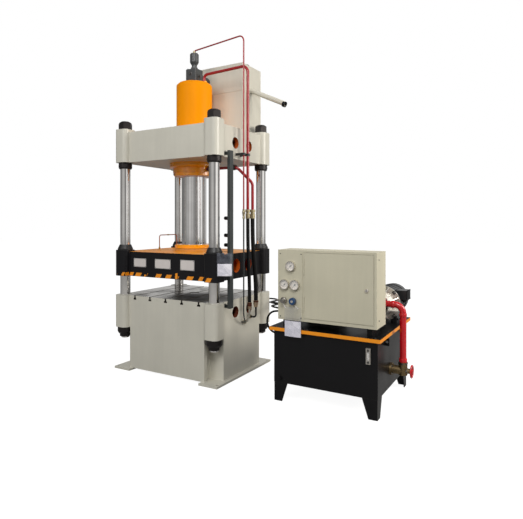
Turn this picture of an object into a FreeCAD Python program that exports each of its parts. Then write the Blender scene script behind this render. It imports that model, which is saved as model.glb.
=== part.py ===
# Four-column hydraulic press with its power unit, in millimetres: +Z up, +X to the
# right of the press and +Y to its back, with the origin on the floor midway between
# the four columns.
import FreeCAD, Part
import Sketcher
import math
import os
from FreeCAD import Placement, Rotation, Vector

os.makedirs("parts", exist_ok=True)
doc = FreeCAD.newDocument("hydraulic_press")
sheet = doc.addObject("Spreadsheet::Sheet", "sizes")

# --------------------------------------------------------------------------------------
# Driving dimensions, one cell each
# --------------------------------------------------------------------------------------
DIMENSIONS = {
    # press frame
    "column_radius": 50, "column_span": 1100, "column_depth": 840,
    "boss_half": 78, "boss_corner": 45, "front_setback": 25, "side_reach": 35,
    "side_foot_gap": 22, "front_foot_gap": 16, "notch_foot_gap": 46,
    "skid_thick": 20, "skid_width": 204, "skid_overhang": 45,
    "bed_boss_bottom": 420, "bed_top": 680, "table_thick": 60,
    "plate_thick": 40, "web_thick": 30,
    "crosshead_bottom": 2067, "crosshead_height": 303, "crosshead_boss_rise": 29,
    "light_hole_radius": 54, "light_hole_offset": 123,
    "bed_hole_drop": 62, "crosshead_hole_rise": 154,
    "anchor_hole_radius": 13, "anchor_edge": 22, "anchor_inset": 44,
    # table
    "slot_pitch": 197, "slot_neck": 18, "slot_head": 36, "slot_head_height": 16,
    "slot_depth": 40, "ejector_bore": 52,
    # columns, nuts and collars
    "thread_step": 10, "thread_chamfer": 2, "chamfer_height": 4,
    "upper_nut_flats": 118, "upper_nut_height": 84, "collar_radius": 66,
    "collar_height": 62, "lower_nut_radius": 76, "lower_nut_height": 70,
    "lower_hex_flats": 96, "lower_hex_height": 28, "column_stub": 14,
    # cylinder
    "barrel_radius": 182, "barrel_rise": 518, "barrel_chamfer": 22, "bore_radius": 145,
    "flange_radius": 251, "flange_thick": 45, "nose_radius": 216, "nose_step": 7,
    "nose_length": 50, "head_thick": 98, "gland_radius": 205, "gland_height": 38,
    "gland_spigot": 58, "running_gap": 0.08,
    "rod_radius": 124, "piston_down_stroke": 100, "piston_rest_gap": 10,
    "piston_height": 110, "piston_groove": 6, "piston_land": 33, "groove_width": 13,
    "rod_port_drop": 24, "port_side": 60,
    # prefill valve, tank and tube on the crosshead
    "prefill_half": 63, "prefill_height": 146, "pilot_foot_radius": 35,
    "pilot_foot_height": 25, "pilot_neck_radius": 27, "pilot_neck_height": 25,
    "pilot_cone_height": 30, "pilot_radius": 45, "pilot_height": 82,
    "pilot_chamfer": 9, "prefill_pipe_radius": 45,
    "top_tank_left": -190, "top_tank_width": 645, "top_tank_gap": 26,
    "top_tank_depth": 367, "top_tank_height": 735, "top_tank_wall": 5,
    "overflow_radius": 25, "overflow_wall": 3, "overflow_inset": 169,
    "overflow_below": 253, "overflow_run": 400, "overflow_drop": 187,
    # pipes and hoses on the right side
    "hose_sway": 32, "clamp_rise": 45, "clamp_half": 11, "clamp_wall": 8,
    "riser_gap": 85, "thin_pipe_radius": 7, "thin_pipe_line": -112,
    "thin_pipe_rise": 30, "thin_pipe_bend": 22, "thin_pipe_sweep": 60,
    "pressure_pipe_radius": 14, "pressure_line": -38, "pressure_rise": 80,
    "pressure_bend": 42, "riser_bend": 70, "pressure_port_reach": 125,
    "return_line": 50, "return_reach": 110, "return_fall": 150,
    "pipe_end": 1590, "ferrule_length": 86, "ferrule_skirt": 44, "ferrule_nut": 26,
    "ferrule_taper": 3, "low_ferrule_length": 62, "low_ferrule_skirt": 40,
    "pressure_hose_radius": 17, "return_hose_radius": 20, "hose_end": 700,
    "port_drop": 177, "return_port_drop": 144, "port_pipe_radius": 9,
    "port_nut_flats": 36, "port_nut_length": 20, "pressure_port_line": 12,
    "port_pipe_drop": 53, "thin_port_shift": 96, "thin_port_reach": 40,
    "thin_port_fall": 90,
    # limit switches
    "bar_gap": 60, "bar_width": 30, "bar_setback": 70, "bar_depth": 52,
    "bar_wall": 4, "bracket_height": 30, "bar_foot_rise": 10, "bar_top_rise": 51,
    "switch_inset": 28, "switch_radius": 12, "switch_reach": 40, "switch_nut_flats": 30,
    "switch_nut_length": 8,
    "switch_low": 1262, "switch_middle": 1350, "switch_high": 1506,
    # slide
    "slide_bottom": 933, "slide_height": 242, "slide_boss_rise": 14,
    "slide_hole_radius": 65, "slide_hole_rise": 123, "slide_hole_offset": 107,
    "bush_radius": 62, "wiper_base_radius": 75, "wiper_top_radius": 56,
    "wiper_foot": 14, "wiper_height": 54, "ring_radius": 199, "ring_height": 66,
    "ring_chamfer": 10, "rod_foot_radius": 140,
    "rod_foot_height": 30, "striker_reach": 15, "striker_half": 13, "striker_height": 75,
    "tapping_radius": 10.5, "tapping_pitch": 200, "tapping_depth": 38,
    "grease_inset": 50, "grease_front": 30, "grease_back_inset": 102,
    "grease_rise": 152, "grease_bend": 25, "grease_radius": 5,
    # ejector
    "ejector_radius": 88, "ejector_height": 300, "ejector_wall": 22,
    "ejector_rod_radius": 34, "ejector_pad_radius": 50, "ejector_pad_height": 30,
    "ejector_pad_recess": 5, "ejector_pad_chamfer": 3, "ejector_stroke": 150,
    "ejector_end_gap": 6,
    # power unit tank
    "unit_left": 1178, "unit_width": 865, "unit_front": -445, "unit_depth": 900,
    "unit_bottom": 152, "unit_height": 452, "unit_wall": 5, "cover_overhang": 30,
    "cover_thick": 28, "cover_sheet": 6, "leg_top": 120, "leg_foot": 70, "leg_wall": 6,
    "front_lug": -244, "rear_lug": 290, "lug_reach": 34, "lug_drop": 59,
    "lug_half": 30, "lug_eye": 11,
    "gauge_glass_inset": 67, "gauge_glass_half": 18, "gauge_glass_drop": 190,
    "gauge_glass_height": 118, "gauge_glass_depth": 18, "gauge_glass_corner": 4,
    # motor and pump
    "motor_inset": 123, "motor_rise": 167, "bell_back": 140, "bell_length": 150,
    "bell_flange_radius": 150, "bell_radius": 105, "bell_wall": 10,
    "motor_radius": 128, "motor_length": 300, "fan_cover_length": 90,
    "motor_wall": 12, "motor_end": 14, "fan_hub": 24, "fan_sheet": 2,
    "pump_radius": 62, "pump_length": 170, "pump_flange": 16, "pump_nose": 10,
    "shaft_radius": 19, "pump_shaft_radius": 12, "coupling_radius": 46,
    "coupling_end": 104, "rotor_gap": 34, "rotor_end_gap": 40, "fan_thick": 24,
    "foot_half": 108, "foot_inset": 40, "suction_rise": 36, "pad_half": 30,
    "pad_reach": 8, "delivery_pad_half": 28, "delivery_pad_rise": 12,
    "terminal_inset": 40, "terminal_reach": 52, "terminal_back": 90,
    "terminal_length": 120, "terminal_low": 24, "terminal_height": 80,
    "terminal_corner": 8,
    # suction line
    "suction_inset": 75, "suction_port_rise": 143, "valve_reach": 100,
    "valve_radius": 34, "valve_flange": 18, "valve_height": 100, "bonnet_length": 56,
    "suction_radius": 25, "suction_bend": 64, "wheel_radius": 46, "wheel_rim": 6,
    "wheel_reach": 66, "wheel_hub": 18, "stem_radius": 8, "stem_length": 50,
    # valve manifold behind the cabinet
    "manifold_inset": 152, "manifold_width": 300, "manifold_gap": 80,
    "manifold_depth": 140, "manifold_height": 110, "solenoid_half": 23,
    "solenoid_height": 50, "coil_half": 22, "coil_length": 64, "solenoid_inset": 20,
    "delivery_radius": 10, "delivery_rise": 60, "delivery_bend": 30,
    # hoses between the press and the power unit
    "supply_port_x": 420, "supply_port_height": 640, "line_hose_radius": 8,
    "line_pitch": 40, "loop_hose_radius": 9, "loop_x": 996, "loop_line": -60,
    "loop_height": 553, "loop_radius": 101,
    # control cabinet
    "cabinet_inset": 35, "cabinet_width": 827, "cabinet_proud": 5,
    "cabinet_depth": 240, "cabinet_rise": 65, "cabinet_height": 570,
    "cabinet_wall": 3, "cabinet_corner": 6, "panel_inset": 15, "panel_width": 208,
    "panel_height": 535, "panel_thick": 3, "hatch_margin": 14,
    "door_inset": 15, "door_margin": 23, "door_rise": 28, "door_height": 523,
    "door_thick": 20, "door_gap": 2, "door_proud": 5, "door_corner": 2,
    "hinge_radius": 5, "hinge_length": 60, "hinge_inset": 55, "hinge_gap": 0.5,
    "hinge_leaf": 12,
    "lock_inset": 52, "lock_rise": 257,
    "lock_radius": 9, "lock_head": 5, "lock_cam": 46, "lock_cam_half": 7,
    "support_width": 40, "support_inset": 40, "support_depth_inset": 20,
    "gauge_radius": 40, "gauge_rim": 4, "gauge_floor": 8, "gauge_depth": 26,
    "gauge_stem": 10, "needle_pin": 3, "needle_thick": 1.5, "needle_rise": 11.5,
    "knob_stem": 7, "top_gauge_inset": 108, "top_gauge_rise": 426,
    "left_gauge_inset": 53, "right_gauge_inset": 146, "low_gauge_rise": 275,
    "steel_knob_inset": 49, "steel_knob_rise": 146, "blue_knob_inset": 130,
    "blue_knob_rise": 143,
    # gear inside the cabinet
    "gear_height": 85, "gear_gap": 14, "gear_inset": 70, "gear_row": 160,
    "gear_top_drop": 150, "gear_low_rise": 70, "gear_plate_left": 40,
    "gear_plate_right": 30, "gear_plate_edge": 20, "gear_pad": 20,
    "deep_gear": 80, "middle_gear": 70, "shallow_gear": 50,
    "wide_gear": 110, "large_gear": 90, "medium_gear": 70, "small_gear": 60,
}


class Size:
    """A length that carries the formula giving it, so that a property can be bound."""

    def __init__(self, value, formula):
        self.value = float(value)
        self.formula = formula

    def combine(self, other, sign, value, swap=False):
        text = other.formula if isinstance(other, Size) else repr(float(other))
        first, second = (text, self.formula) if swap else (self.formula, text)
        return Size(value, f"({first} {sign} {second})")

    def __add__(self, other):
        return self.combine(other, "+", self.value + float(other))

    def __radd__(self, other):
        return self.combine(other, "+", float(other) + self.value, swap=True)

    def __sub__(self, other):
        return self.combine(other, "-", self.value - float(other))

    def __rsub__(self, other):
        return self.combine(other, "-", float(other) - self.value, swap=True)

    def __mul__(self, other):
        return self.combine(other, "*", self.value * float(other))

    __rmul__ = __mul__

    def __truediv__(self, other):
        return self.combine(other, "/", self.value / float(other))

    def __neg__(self):
        return self * -1

    def __float__(self):
        return self.value


class Sizes:
    """Every cell of the sheet, read back as a Size under its alias."""


size = Sizes()
for row, (alias, value) in enumerate(DIMENSIONS.items(), start=1):
    sheet.set(f"A{row}", alias)
    sheet.set(f"B{row}", str(value))
    sheet.setAlias(f"B{row}", alias)
doc.recompute()
for alias in DIMENSIONS:
    setattr(size, alias, Size(sheet.get(alias), f"sizes.{alias}"))

# --------------------------------------------------------------------------------------
# Ways of making a shape
# --------------------------------------------------------------------------------------
nodes = []
TURNS = {"x": Rotation(Vector(0, 1, 0), 90), "y": Rotation(Vector(1, 0, 0), -90),
         "z": Rotation()}


def bind(thing, name, length):
    """Set a property from a length, bound to the sheet where the length is a formula."""
    if isinstance(length, Size):
        thing.setExpression(name, length.formula)
    elif name.startswith("Placement"):
        thing.setExpression(name, repr(float(length)))
    else:
        setattr(thing, name, float(length))


def place(thing, corner, axis="z"):
    thing.Placement = Placement(Vector(*map(float, corner)), TURNS[axis])
    for letter, length in zip("xyz", corner):
        bind(thing, f"Placement.Base.{letter}", length)
    return thing


def block(name, x, y, z):
    """A box between two corners; each argument is a low and a high value."""
    box = doc.addObject("Part::Box", name)
    for side, (low, high) in zip(("Length", "Width", "Height"), (x, y, z)):
        bind(box, side, high - low)
    return place(box, (x[0], y[0], z[0]))


def bar(name, radius, start, length, axis="z"):
    """A round bar from its start point along one axis."""
    cylinder = doc.addObject("Part::Cylinder", name)
    bind(cylinder, "Radius", radius)
    bind(cylinder, "Height", length)
    return place(cylinder, start, axis)


def cone(name, radius, top_radius, start, length, axis="z"):
    shape = doc.addObject("Part::Cone", name)
    bind(shape, "Radius1", radius)
    bind(shape, "Radius2", top_radius)
    bind(shape, "Height", length)
    return place(shape, start, axis)


def hexagon(name, flats, start, length, axis="z"):
    prism = doc.addObject("Part::Prism", name)
    prism.Polygon = 6
    bind(prism, "Circumradius", flats / math.sqrt(3))
    bind(prism, "Height", length)
    return place(prism, start, axis)


def join(name, *shapes):
    fusion = doc.addObject("Part::MultiFuse", name)
    fusion.Shapes = list(shapes)
    fusion.Refine = True
    return fusion


def group(name, *shapes):
    """Separate solids that share one file."""
    compound = doc.addObject("Part::Compound", name)
    compound.Links = list(shapes)
    return compound


def cut(name, base, *tools):
    result = doc.addObject("Part::Cut", name)
    result.Base = base
    result.Tool = tools[0] if len(tools) == 1 else group(name + "_tools", *tools)
    result.Refine = True
    return result


def common(name, first, second):
    result = doc.addObject("Part::MultiCommon", name)
    result.Shapes = [first, second]
    return result


def node(label, thing):
    """Register a finished sub-part; its label names its file."""
    thing.Label = label
    nodes.append(thing)
    return thing


def origin_plane(body, role):
    return next(plane for plane in body.Origin.OriginFeatures if plane.Role == role)


def sketch_outline(sketch, points):
    """Draw a closed outline through points whose places are bound to the sheet."""
    count = len(points)
    for index, point in enumerate(points):
        here = Vector(float(point[0]), float(point[1]), 0)
        after = points[(index + 1) % count]
        there = Vector(float(after[0]), float(after[1]), 0)
        sketch.addGeometry(Part.LineSegment(here, there), False)
    for index in range(count):
        sketch.addConstraint(Sketcher.Constraint("Coincident", index, 2,
                                                 (index + 1) % count, 1))
    for index, point in enumerate(points):
        for kind, length, axis in (("DistanceX", point[0], -2), ("DistanceY", point[1], -1)):
            if float(length) == 0:
                sketch.addConstraint(Sketcher.Constraint("PointOnObject", index, 1, axis))
                continue
            number = sketch.addConstraint(Sketcher.Constraint(kind, -1, 1, index, 1,
                                                              float(length)))
            if isinstance(length, Size):
                sketch.setExpression(f"Constraints[{number}]", length.formula)


def turned(name, outline, corner=(0, 0, 0), axis="z"):
    """A lathe-turned piece; its outline is a list of (radius, height) points."""
    body = doc.addObject("PartDesign::Body", name)
    sketch = body.newObject("Sketcher::SketchObject", name + "_outline")
    sketch.AttachmentSupport = [(origin_plane(body, "XZ_Plane"), "")]
    sketch.MapMode = "FlatFace"
    sketch_outline(sketch, outline)
    revolution = body.newObject("PartDesign::Revolution", name + "_turn")
    revolution.Profile = sketch
    revolution.ReferenceAxis = (sketch, ["V_Axis"])
    revolution.Angle = 360
    body.Tip = revolution
    return place(body, corner, axis)


def extruded(name, outline, length, corner=(0, 0, 0), plane="XY_Plane", holes=()):
    """A plate or profile: an outline, its round holes (x, y, radius), and its length."""
    body = doc.addObject("PartDesign::Body", name)
    sketch = body.newObject("Sketcher::SketchObject", name + "_outline")
    sketch.AttachmentSupport = [(origin_plane(body, plane), "")]
    sketch.MapMode = "FlatFace"
    sketch_outline(sketch, outline)
    for x, y, radius in holes:
        circle = sketch.addGeometry(Part.Circle(Vector(float(x), float(y), 0),
                                                Vector(0, 0, 1), float(radius)), False)
        for kind, length_along in (("DistanceX", x), ("DistanceY", y)):
            number = sketch.addConstraint(Sketcher.Constraint(kind, -1, 1, circle, 3,
                                                              float(length_along)))
            if isinstance(length_along, Size):
                sketch.setExpression(f"Constraints[{number}]", length_along.formula)
        number = sketch.addConstraint(Sketcher.Constraint("Radius", circle, float(radius)))
        if isinstance(radius, Size):
            sketch.setExpression(f"Constraints[{number}]", radius.formula)
    pad = body.newObject("PartDesign::Pad", name + "_pad")
    pad.Profile = sketch
    bind(pad, "Length", length)
    body.Tip = pad
    return place(body, corner)


def pipe_path(points, bends):
    """Straight runs joined by tangent arcs, one bend radius for each inner point."""
    corners = [Vector(*map(float, point)) for point in points]
    edges = []
    start = corners[0]
    for before, corner, after, bend in zip(corners, corners[1:], corners[2:], bends):
        arriving = (corner - before).normalize()
        leaving = (after - corner).normalize()
        half_turn = arriving.getAngle(leaving) / 2
        reach = float(bend) * math.tan(half_turn)
        first = corner - arriving * reach
        last = corner + leaving * reach
        inward = (leaving - arriving).normalize()
        middle = corner + inward * (float(bend) / math.cos(half_turn) - float(bend))
        edges.append(Part.LineSegment(start, first).toShape())
        edges.append(Part.Arc(first, middle, last).toShape())
        start = last
    edges.append(Part.LineSegment(start, corners[-1]).toShape())
    return Part.Wire(edges)


def pipe(name, points, radius, bends):
    """A bent round pipe along straight runs and tangent arcs."""
    path = pipe_path(points, bends)
    start = Vector(*map(float, points[0]))
    direction = Vector(*map(float, points[1])) - start
    ring = Part.Wire(Part.makeCircle(float(radius), start, direction))
    thing = doc.addObject("Part::Feature", name)
    thing.Shape = path.makePipeShell([ring], True, True)
    return thing


def smooth_bends(points):
    """Each bend as large as its two runs allow."""
    corners_here = [Vector(*map(float, point)) for point in points]
    radii = []
    for before, corner, after in zip(corners_here, corners_here[1:], corners_here[2:]):
        half_turn = (corner - before).getAngle(after - corner) / 2
        shorter = min((corner - before).Length, (after - corner).Length)
        radii.append(0.45 * shorter / math.tan(half_turn))
    return radii


def hose(name, points, radius):
    """A free hose; its bend radii and its length against its volume are printed."""
    radii = smooth_bends(points)
    thing = pipe(name + "_run", points, radius, radii)
    length = pipe_path(points, radii).Length
    section = math.pi * float(radius) ** 2
    print(f"{name}: length {length:.0f}, volume ratio "
          f"{thing.Shape.Volume / (section * length):.4f}, bends "
          + " ".join(f"{radius:.0f}" for radius in radii))
    return node(name, thing)


def rounded_block(name, x, y, z, corner):
    """A block whose four upright edges are rounded."""
    width = x[1] - x[0]
    depth = y[1] - y[0]
    body = extruded(name, [(0, 0), (width, 0), (width, depth), (0, depth)],
                    z[1] - z[0], (x[0], y[0], z[0]))
    doc.recompute()
    pad = body.Tip
    upright = [f"Edge{number}" for number, edge in enumerate(pad.Shape.Edges, start=1)
               if abs(edge.tangentAt(edge.FirstParameter).z) > 0.9]
    rounding = body.newObject("PartDesign::Fillet", name + "_rounding")
    rounding.Base = (pad, upright)
    bind(rounding, "Radius", corner)
    body.Tip = rounding
    return body


def spread(half):
    return -half, half


# --------------------------------------------------------------------------------------
# Places that follow from the sizes
# --------------------------------------------------------------------------------------
column_x = size.column_span / 2
column_y = size.column_depth / 2
front_y = column_y + size.front_setback
side_x = column_x + size.side_reach
corners = [(column_x * right, column_y * back)
           for right, back in ((-1, -1), (1, -1), (-1, 1), (1, 1))]
foot_radius = size.lower_nut_radius
skid_outer = column_x + size.boss_half
skid_inner = skid_outer - size.skid_width
skid_half_length = front_y + size.skid_overhang
side_plate_half = column_y - foot_radius - size.side_foot_gap
front_plate_half = column_x - foot_radius - size.front_foot_gap
notch_half = column_x - foot_radius - size.notch_foot_gap
thread_radius = size.column_radius - size.thread_step
table_top = size.bed_top + size.table_thick
bed_hole_height = size.bed_top - size.bed_hole_drop
crosshead_top = size.crosshead_bottom + size.crosshead_height
crosshead_hole_height = size.crosshead_bottom + size.crosshead_hole_rise
barrel_top = crosshead_top + size.barrel_rise
flange_bottom = size.crosshead_bottom - size.flange_thick
nose_bottom = flange_bottom - size.nose_length
port_height = flange_bottom - size.rod_port_drop
piston_bottom = (nose_bottom + size.gland_spigot + size.piston_down_stroke
                 + size.piston_rest_gap)
pressure_height = barrel_top + size.pressure_rise
top_tank_right = size.top_tank_left + size.top_tank_width
top_tank_front = size.barrel_radius + size.top_tank_gap
top_tank_back = top_tank_front + size.top_tank_depth
overflow_depth = top_tank_front + size.overflow_inset
overflow_start_height = crosshead_top + size.top_tank_height - size.overflow_below
riser_line = side_x + size.riser_gap
clamp_height = size.crosshead_bottom + size.clamp_rise
port_line_height = size.bed_top - size.port_drop
return_port_height = size.bed_top - size.return_port_drop
bar_inner = side_x + size.bar_gap
bar_outer = bar_inner + size.bar_width
bar_front = size.bar_setback - column_y
bar_back = bar_front + size.bar_depth
bar_bottom = size.bed_top + size.bar_foot_rise
bar_top = size.crosshead_bottom + size.bar_top_rise
switch_line = bar_front + size.switch_inset
slide_top = size.slide_bottom + size.slide_height
slide_hole_height = size.slide_bottom + size.slide_hole_rise
grease_line_x = size.grease_inset - column_x
grease_back = column_y - size.grease_back_inset
ejector_bottom = size.bed_top - size.ejector_height
unit_right = size.unit_left + size.unit_width
unit_back = size.unit_front + size.unit_depth
unit_top = size.unit_bottom + size.unit_height
cover_top = unit_top + size.cover_sheet
lug_height = unit_top - size.lug_drop
gauge_glass_x = unit_right - size.gauge_glass_inset
gauge_glass_low = unit_top - size.gauge_glass_drop
motor_x = unit_right - size.motor_inset
motor_height = cover_top + size.motor_rise
suction_line = size.bell_back - size.bell_length - size.suction_inset
suction_port_height = size.unit_bottom + size.suction_port_rise
cabinet_left = size.unit_left + size.cabinet_inset
cabinet_right = cabinet_left + size.cabinet_width
cabinet_front = size.unit_front - size.cabinet_proud
cabinet_back = cabinet_front + size.cabinet_depth
cabinet_bottom = cover_top + size.cabinet_rise
cabinet_top = cabinet_bottom + size.cabinet_height
manifold_left = size.unit_left + size.manifold_inset
manifold_front = cabinet_back + size.manifold_gap
panel_left = cabinet_left + size.panel_inset
panel_right = panel_left + size.panel_width
panel_bottom = cabinet_bottom + size.panel_inset
panel_top = panel_bottom + size.panel_height
door_left = panel_right + size.door_inset
door_right = cabinet_right - size.door_margin
door_bottom = cabinet_bottom + size.door_rise
door_top = door_bottom + size.door_height
door_front = cabinet_front - size.door_proud
lock_x = door_right - size.lock_inset
lock_z = door_bottom + size.lock_rise
top_gauge_x = panel_left + size.top_gauge_inset
top_gauge_z = panel_bottom + size.top_gauge_rise
left_gauge_x = panel_left + size.left_gauge_inset
right_gauge_x = panel_left + size.right_gauge_inset
low_gauge_z = panel_bottom + size.low_gauge_rise
steel_knob_x = panel_left + size.steel_knob_inset
steel_knob_z = panel_bottom + size.steel_knob_rise
blue_knob_x = panel_left + size.blue_knob_inset
blue_knob_z = panel_bottom + size.blue_knob_rise


# --------------------------------------------------------------------------------------
# Press frame: bed, table, columns, crosshead
# --------------------------------------------------------------------------------------
def bosses(name, bottom, top, grow=0):
    """Four rounded square bosses, one round each column."""
    half = size.boss_half + grow
    return [rounded_block(f"{name}_boss_{number}", (x - half, x + half),
                          (y - half, y + half), (bottom, top), size.boss_corner)
            for number, (x, y) in enumerate(corners)]


def column_bores(name, bottom, top, radius):
    return [bar(f"{name}_bore_{number}", radius, (x, y, bottom), top - bottom)
            for number, (x, y) in enumerate(corners)]


def light_holes(name, height, offset, radius):
    """Round access holes through both side plates, two on each side."""
    reach = size.plate_thick + size.web_thick
    return [bar(f"{name}_light_hole_{side}_{place_y}", radius,
                (side_x * side - (reach if side > 0 else 0), offset * place_y, height),
                reach, "x")
            for side in (-1, 1) for place_y in (-1, 1)]


def welded_box(name, bottom, top, core, webs):
    """The hollow of a plate weldment: a cavity less its bosses, its core and its webs."""
    inner_x = side_x - size.plate_thick
    inner_y = front_y - size.plate_thick
    hollow = block(name + "_hollow", spread(inner_x), spread(inner_y), (bottom, top))
    return cut(name + "_cavity", hollow, *bosses(name + "_inner", bottom, top), core,
               *webs)


def make_bed():
    bottom = size.skid_thick
    lower = size.bed_boss_bottom
    half_web = size.web_thick / 2
    outer = [
        block("bed_upper_box", spread(side_x), spread(front_y), (lower, size.bed_top)),
        block("bed_lower_core", spread(notch_half),
              spread(front_y - size.plate_thick), (bottom, lower)),
        block("bed_lower_sides", spread(side_x), spread(side_plate_half),
              (bottom, lower)),
        block("bed_front_plate", spread(front_plate_half),
              (-front_y, size.plate_thick - front_y), (bottom, lower)),
        block("bed_back_plate", spread(front_plate_half),
              (front_y - size.plate_thick, front_y), (bottom, lower)),
    ]
    skids = [block(f"bed_skid_{side}", x, spread(skid_half_length),
                   (0 * bottom, bottom))
             for side, x in enumerate(((-skid_outer, -skid_inner),
                                       (skid_inner, skid_outer)))]
    core = bar("bed_core", size.ejector_radius + size.web_thick,
               (0, 0, bottom), size.bed_top - bottom)
    cross_web = notch_half / 2
    webs = [block("bed_web_x", spread(side_x), spread(half_web), (bottom, size.bed_top)),
            block("bed_web_left", (-cross_web - half_web, half_web - cross_web),
                  spread(front_y), (bottom, size.bed_top)),
            block("bed_web_right", (cross_web - half_web, cross_web + half_web),
                  spread(front_y), (bottom, size.bed_top))]
    cavity_bottom = bottom + size.web_thick
    lower_hollow = join(
        "bed_lower_hollow",
        block("bed_hollow_long", spread(notch_half - size.web_thick),
              spread(front_y - size.plate_thick), (cavity_bottom, size.bed_top)),
        block("bed_hollow_wide", spread(side_x - size.plate_thick),
              spread(side_plate_half - size.web_thick),
              (cavity_bottom, size.bed_top)))
    cavity = cut("bed_cavity", lower_hollow, core, *webs)
    anchors = [bar(f"bed_anchor_{number}", size.anchor_hole_radius,
                   ((skid_outer - size.anchor_edge) * right,
                    (skid_half_length - size.anchor_inset) * back,
                    -size.skid_thick), size.skid_thick * 3)
               for number, (right, back) in enumerate(((-1, -1), (1, -1), (-1, 1), (1, 1)))]
    body = join("bed_weldment", *outer, *skids,
                *bosses("bed", lower, table_top))
    bed = cut(
        "bed", body, cavity, *anchors,
        bar("bed_ejector_seat", size.ejector_radius, (0, 0, bottom * 2), size.bed_top),
        *light_holes("bed", bed_hole_height, size.light_hole_offset,
                     size.light_hole_radius),
        *column_bores("bed", bottom, table_top + bottom, size.column_radius))
    reach = size.side_reach + side_x
    box = common("bed_box", bed, block("bed_box_zone", spread(reach * 2), spread(reach * 2),
                                       (0 * bottom, size.bed_top)))
    heads = common("bed_boss_heads", bed,
                   block("bed_head_zone", spread(reach * 2), spread(reach * 2),
                         (size.bed_top, table_top + bottom)))
    node("press_bed", group("bed_parts", box, heads))


def make_table():
    """The slotted plate, in flush layers below, beside and above the slots' heads."""
    floor = table_top - size.slot_depth
    shoulder = floor + size.slot_head_height
    bore = bar("table_ejector_bore", size.ejector_bore, (0, 0, size.bed_top),
               size.table_thick)
    seats = bosses("table_seat", size.bed_top, table_top)
    parts = [cut("table_base",
                 block("table_base_plate", spread(side_x), spread(front_y),
                       (size.bed_top, floor)), *seats, bore)]
    lines = [size.slot_pitch * number for number in range(-2, 3)]
    for layer, width, low, high in (("beside", size.slot_head, floor, shoulder),
                                    ("above", size.slot_neck, shoulder, table_top)):
        starts = [-side_x] + [line + width / 2 for line in lines]
        ends = [line - width / 2 for line in lines] + [side_x]
        for number, (left, right) in enumerate(zip(starts, ends)):
            strip = block(f"table_{layer}_{number}", (left, right), spread(front_y),
                          (low, high))
            if number in (0, len(lines)):
                strip = cut(f"table_{layer}_end_{number}", strip, *seats)
            if number in (2, 3):
                strip = cut(f"table_{layer}_bored_{number}", strip, bore)
            parts.append(strip)
    node("bolster_table", group("table", *parts))


def make_columns():
    bottom = (size.bed_boss_bottom - size.lower_nut_height - size.lower_hex_height
              - size.column_stub)
    shoulder = crosshead_top + size.crosshead_boss_rise
    top = shoulder + size.upper_nut_height - size.column_stub
    tip = thread_radius - size.thread_chamfer
    names = ("front_left", "front_right", "rear_left", "rear_right")
    for name, (x, y) in zip(names, corners):
        node(f"column_{name}", turned(
            f"column_{name}",
            [(0, bottom), (tip, bottom), (thread_radius, bottom + size.chamfer_height),
             (thread_radius, size.bed_boss_bottom),
             (size.column_radius, size.bed_boss_bottom), (size.column_radius, shoulder),
             (thread_radius, shoulder), (thread_radius, top - size.chamfer_height),
             (tip, top), (0, top)],
            (x, y, 0)))


def make_nuts():
    """Domed hexagon nuts on top, round lock collars below the crosshead, foot nuts."""
    thread = thread_radius
    top = crosshead_top + size.crosshead_boss_rise
    height = size.upper_nut_height
    corner = size.upper_nut_flats / math.sqrt(3)
    upper = []
    collars = []
    lower = []
    foot = size.bed_boss_bottom - size.lower_nut_height
    for number, (x, y) in enumerate(corners):
        dome = turned(f"upper_dome_{number}",
                      [(thread, 0), (corner * 0.9, 0), (corner, height * 0.14),
                       (corner, height * 0.62), (corner * 0.86, height * 0.86),
                       (corner * 0.6, height), (thread, height)], (x, y, top))
        prism = hexagon(f"upper_hex_{number}", size.upper_nut_flats, (x, y, top), height)
        upper.append(common(f"upper_nut_{number}", dome, prism))
        ring = size.collar_radius
        collars.append(turned(
            f"collar_{number}",
            [(size.column_radius, -size.collar_height),
             (ring * 0.9, -size.collar_height), (ring, -size.collar_height * 0.8),
             (ring, 0), (size.column_radius, 0)],
            (x, y, size.crosshead_bottom)))
        skirt = turned(
            f"foot_skirt_{number}",
            [(thread, 0), (size.lower_nut_radius * 0.8, 0),
             (size.lower_nut_radius, size.lower_nut_height * 0.3),
             (size.lower_nut_radius, size.lower_nut_height),
             (thread, size.lower_nut_height)], (x, y, foot))
        base = (x, y, foot - size.lower_hex_height)
        hexagonal = cut(f"foot_hex_{number}",
                        hexagon(f"foot_prism_{number}", size.lower_hex_flats, base,
                                size.lower_hex_height),
                        bar(f"foot_thread_{number}", thread, base, size.lower_hex_height))
        lower.append(join(f"lower_nut_{number}", skirt, hexagonal))
    node("column_nuts", group("nuts", *upper, *lower))
    node("crosshead_collars", group("collars", *collars))


def make_crosshead():
    bottom = size.crosshead_bottom
    top = crosshead_top
    half_web = size.web_thick / 2
    outer = join("crosshead_weldment",
                 block("crosshead_box", spread(side_x), spread(front_y), (bottom, top)),
                 *bosses("crosshead", bottom, top + size.crosshead_boss_rise))
    floor = bottom + size.plate_thick
    ceiling = top - size.plate_thick
    core = bar("crosshead_core", size.barrel_radius + size.plate_thick, (0, 0, floor),
               ceiling - floor)
    webs = [block("crosshead_web_x", spread(side_x), spread(half_web), (floor, ceiling)),
            block("crosshead_web_y", spread(half_web), spread(front_y), (floor, ceiling))]
    node("crosshead", cut(
        "crosshead_plates", outer, welded_box("crosshead", floor, ceiling, core, webs),
        bar("crosshead_barrel_bore", size.barrel_radius, (0, 0, bottom), top - bottom),
        *light_holes("crosshead", crosshead_hole_height, size.light_hole_offset,
                     size.light_hole_radius),
        *column_bores("crosshead", bottom, top + size.plate_thick, size.column_radius)))


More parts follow.
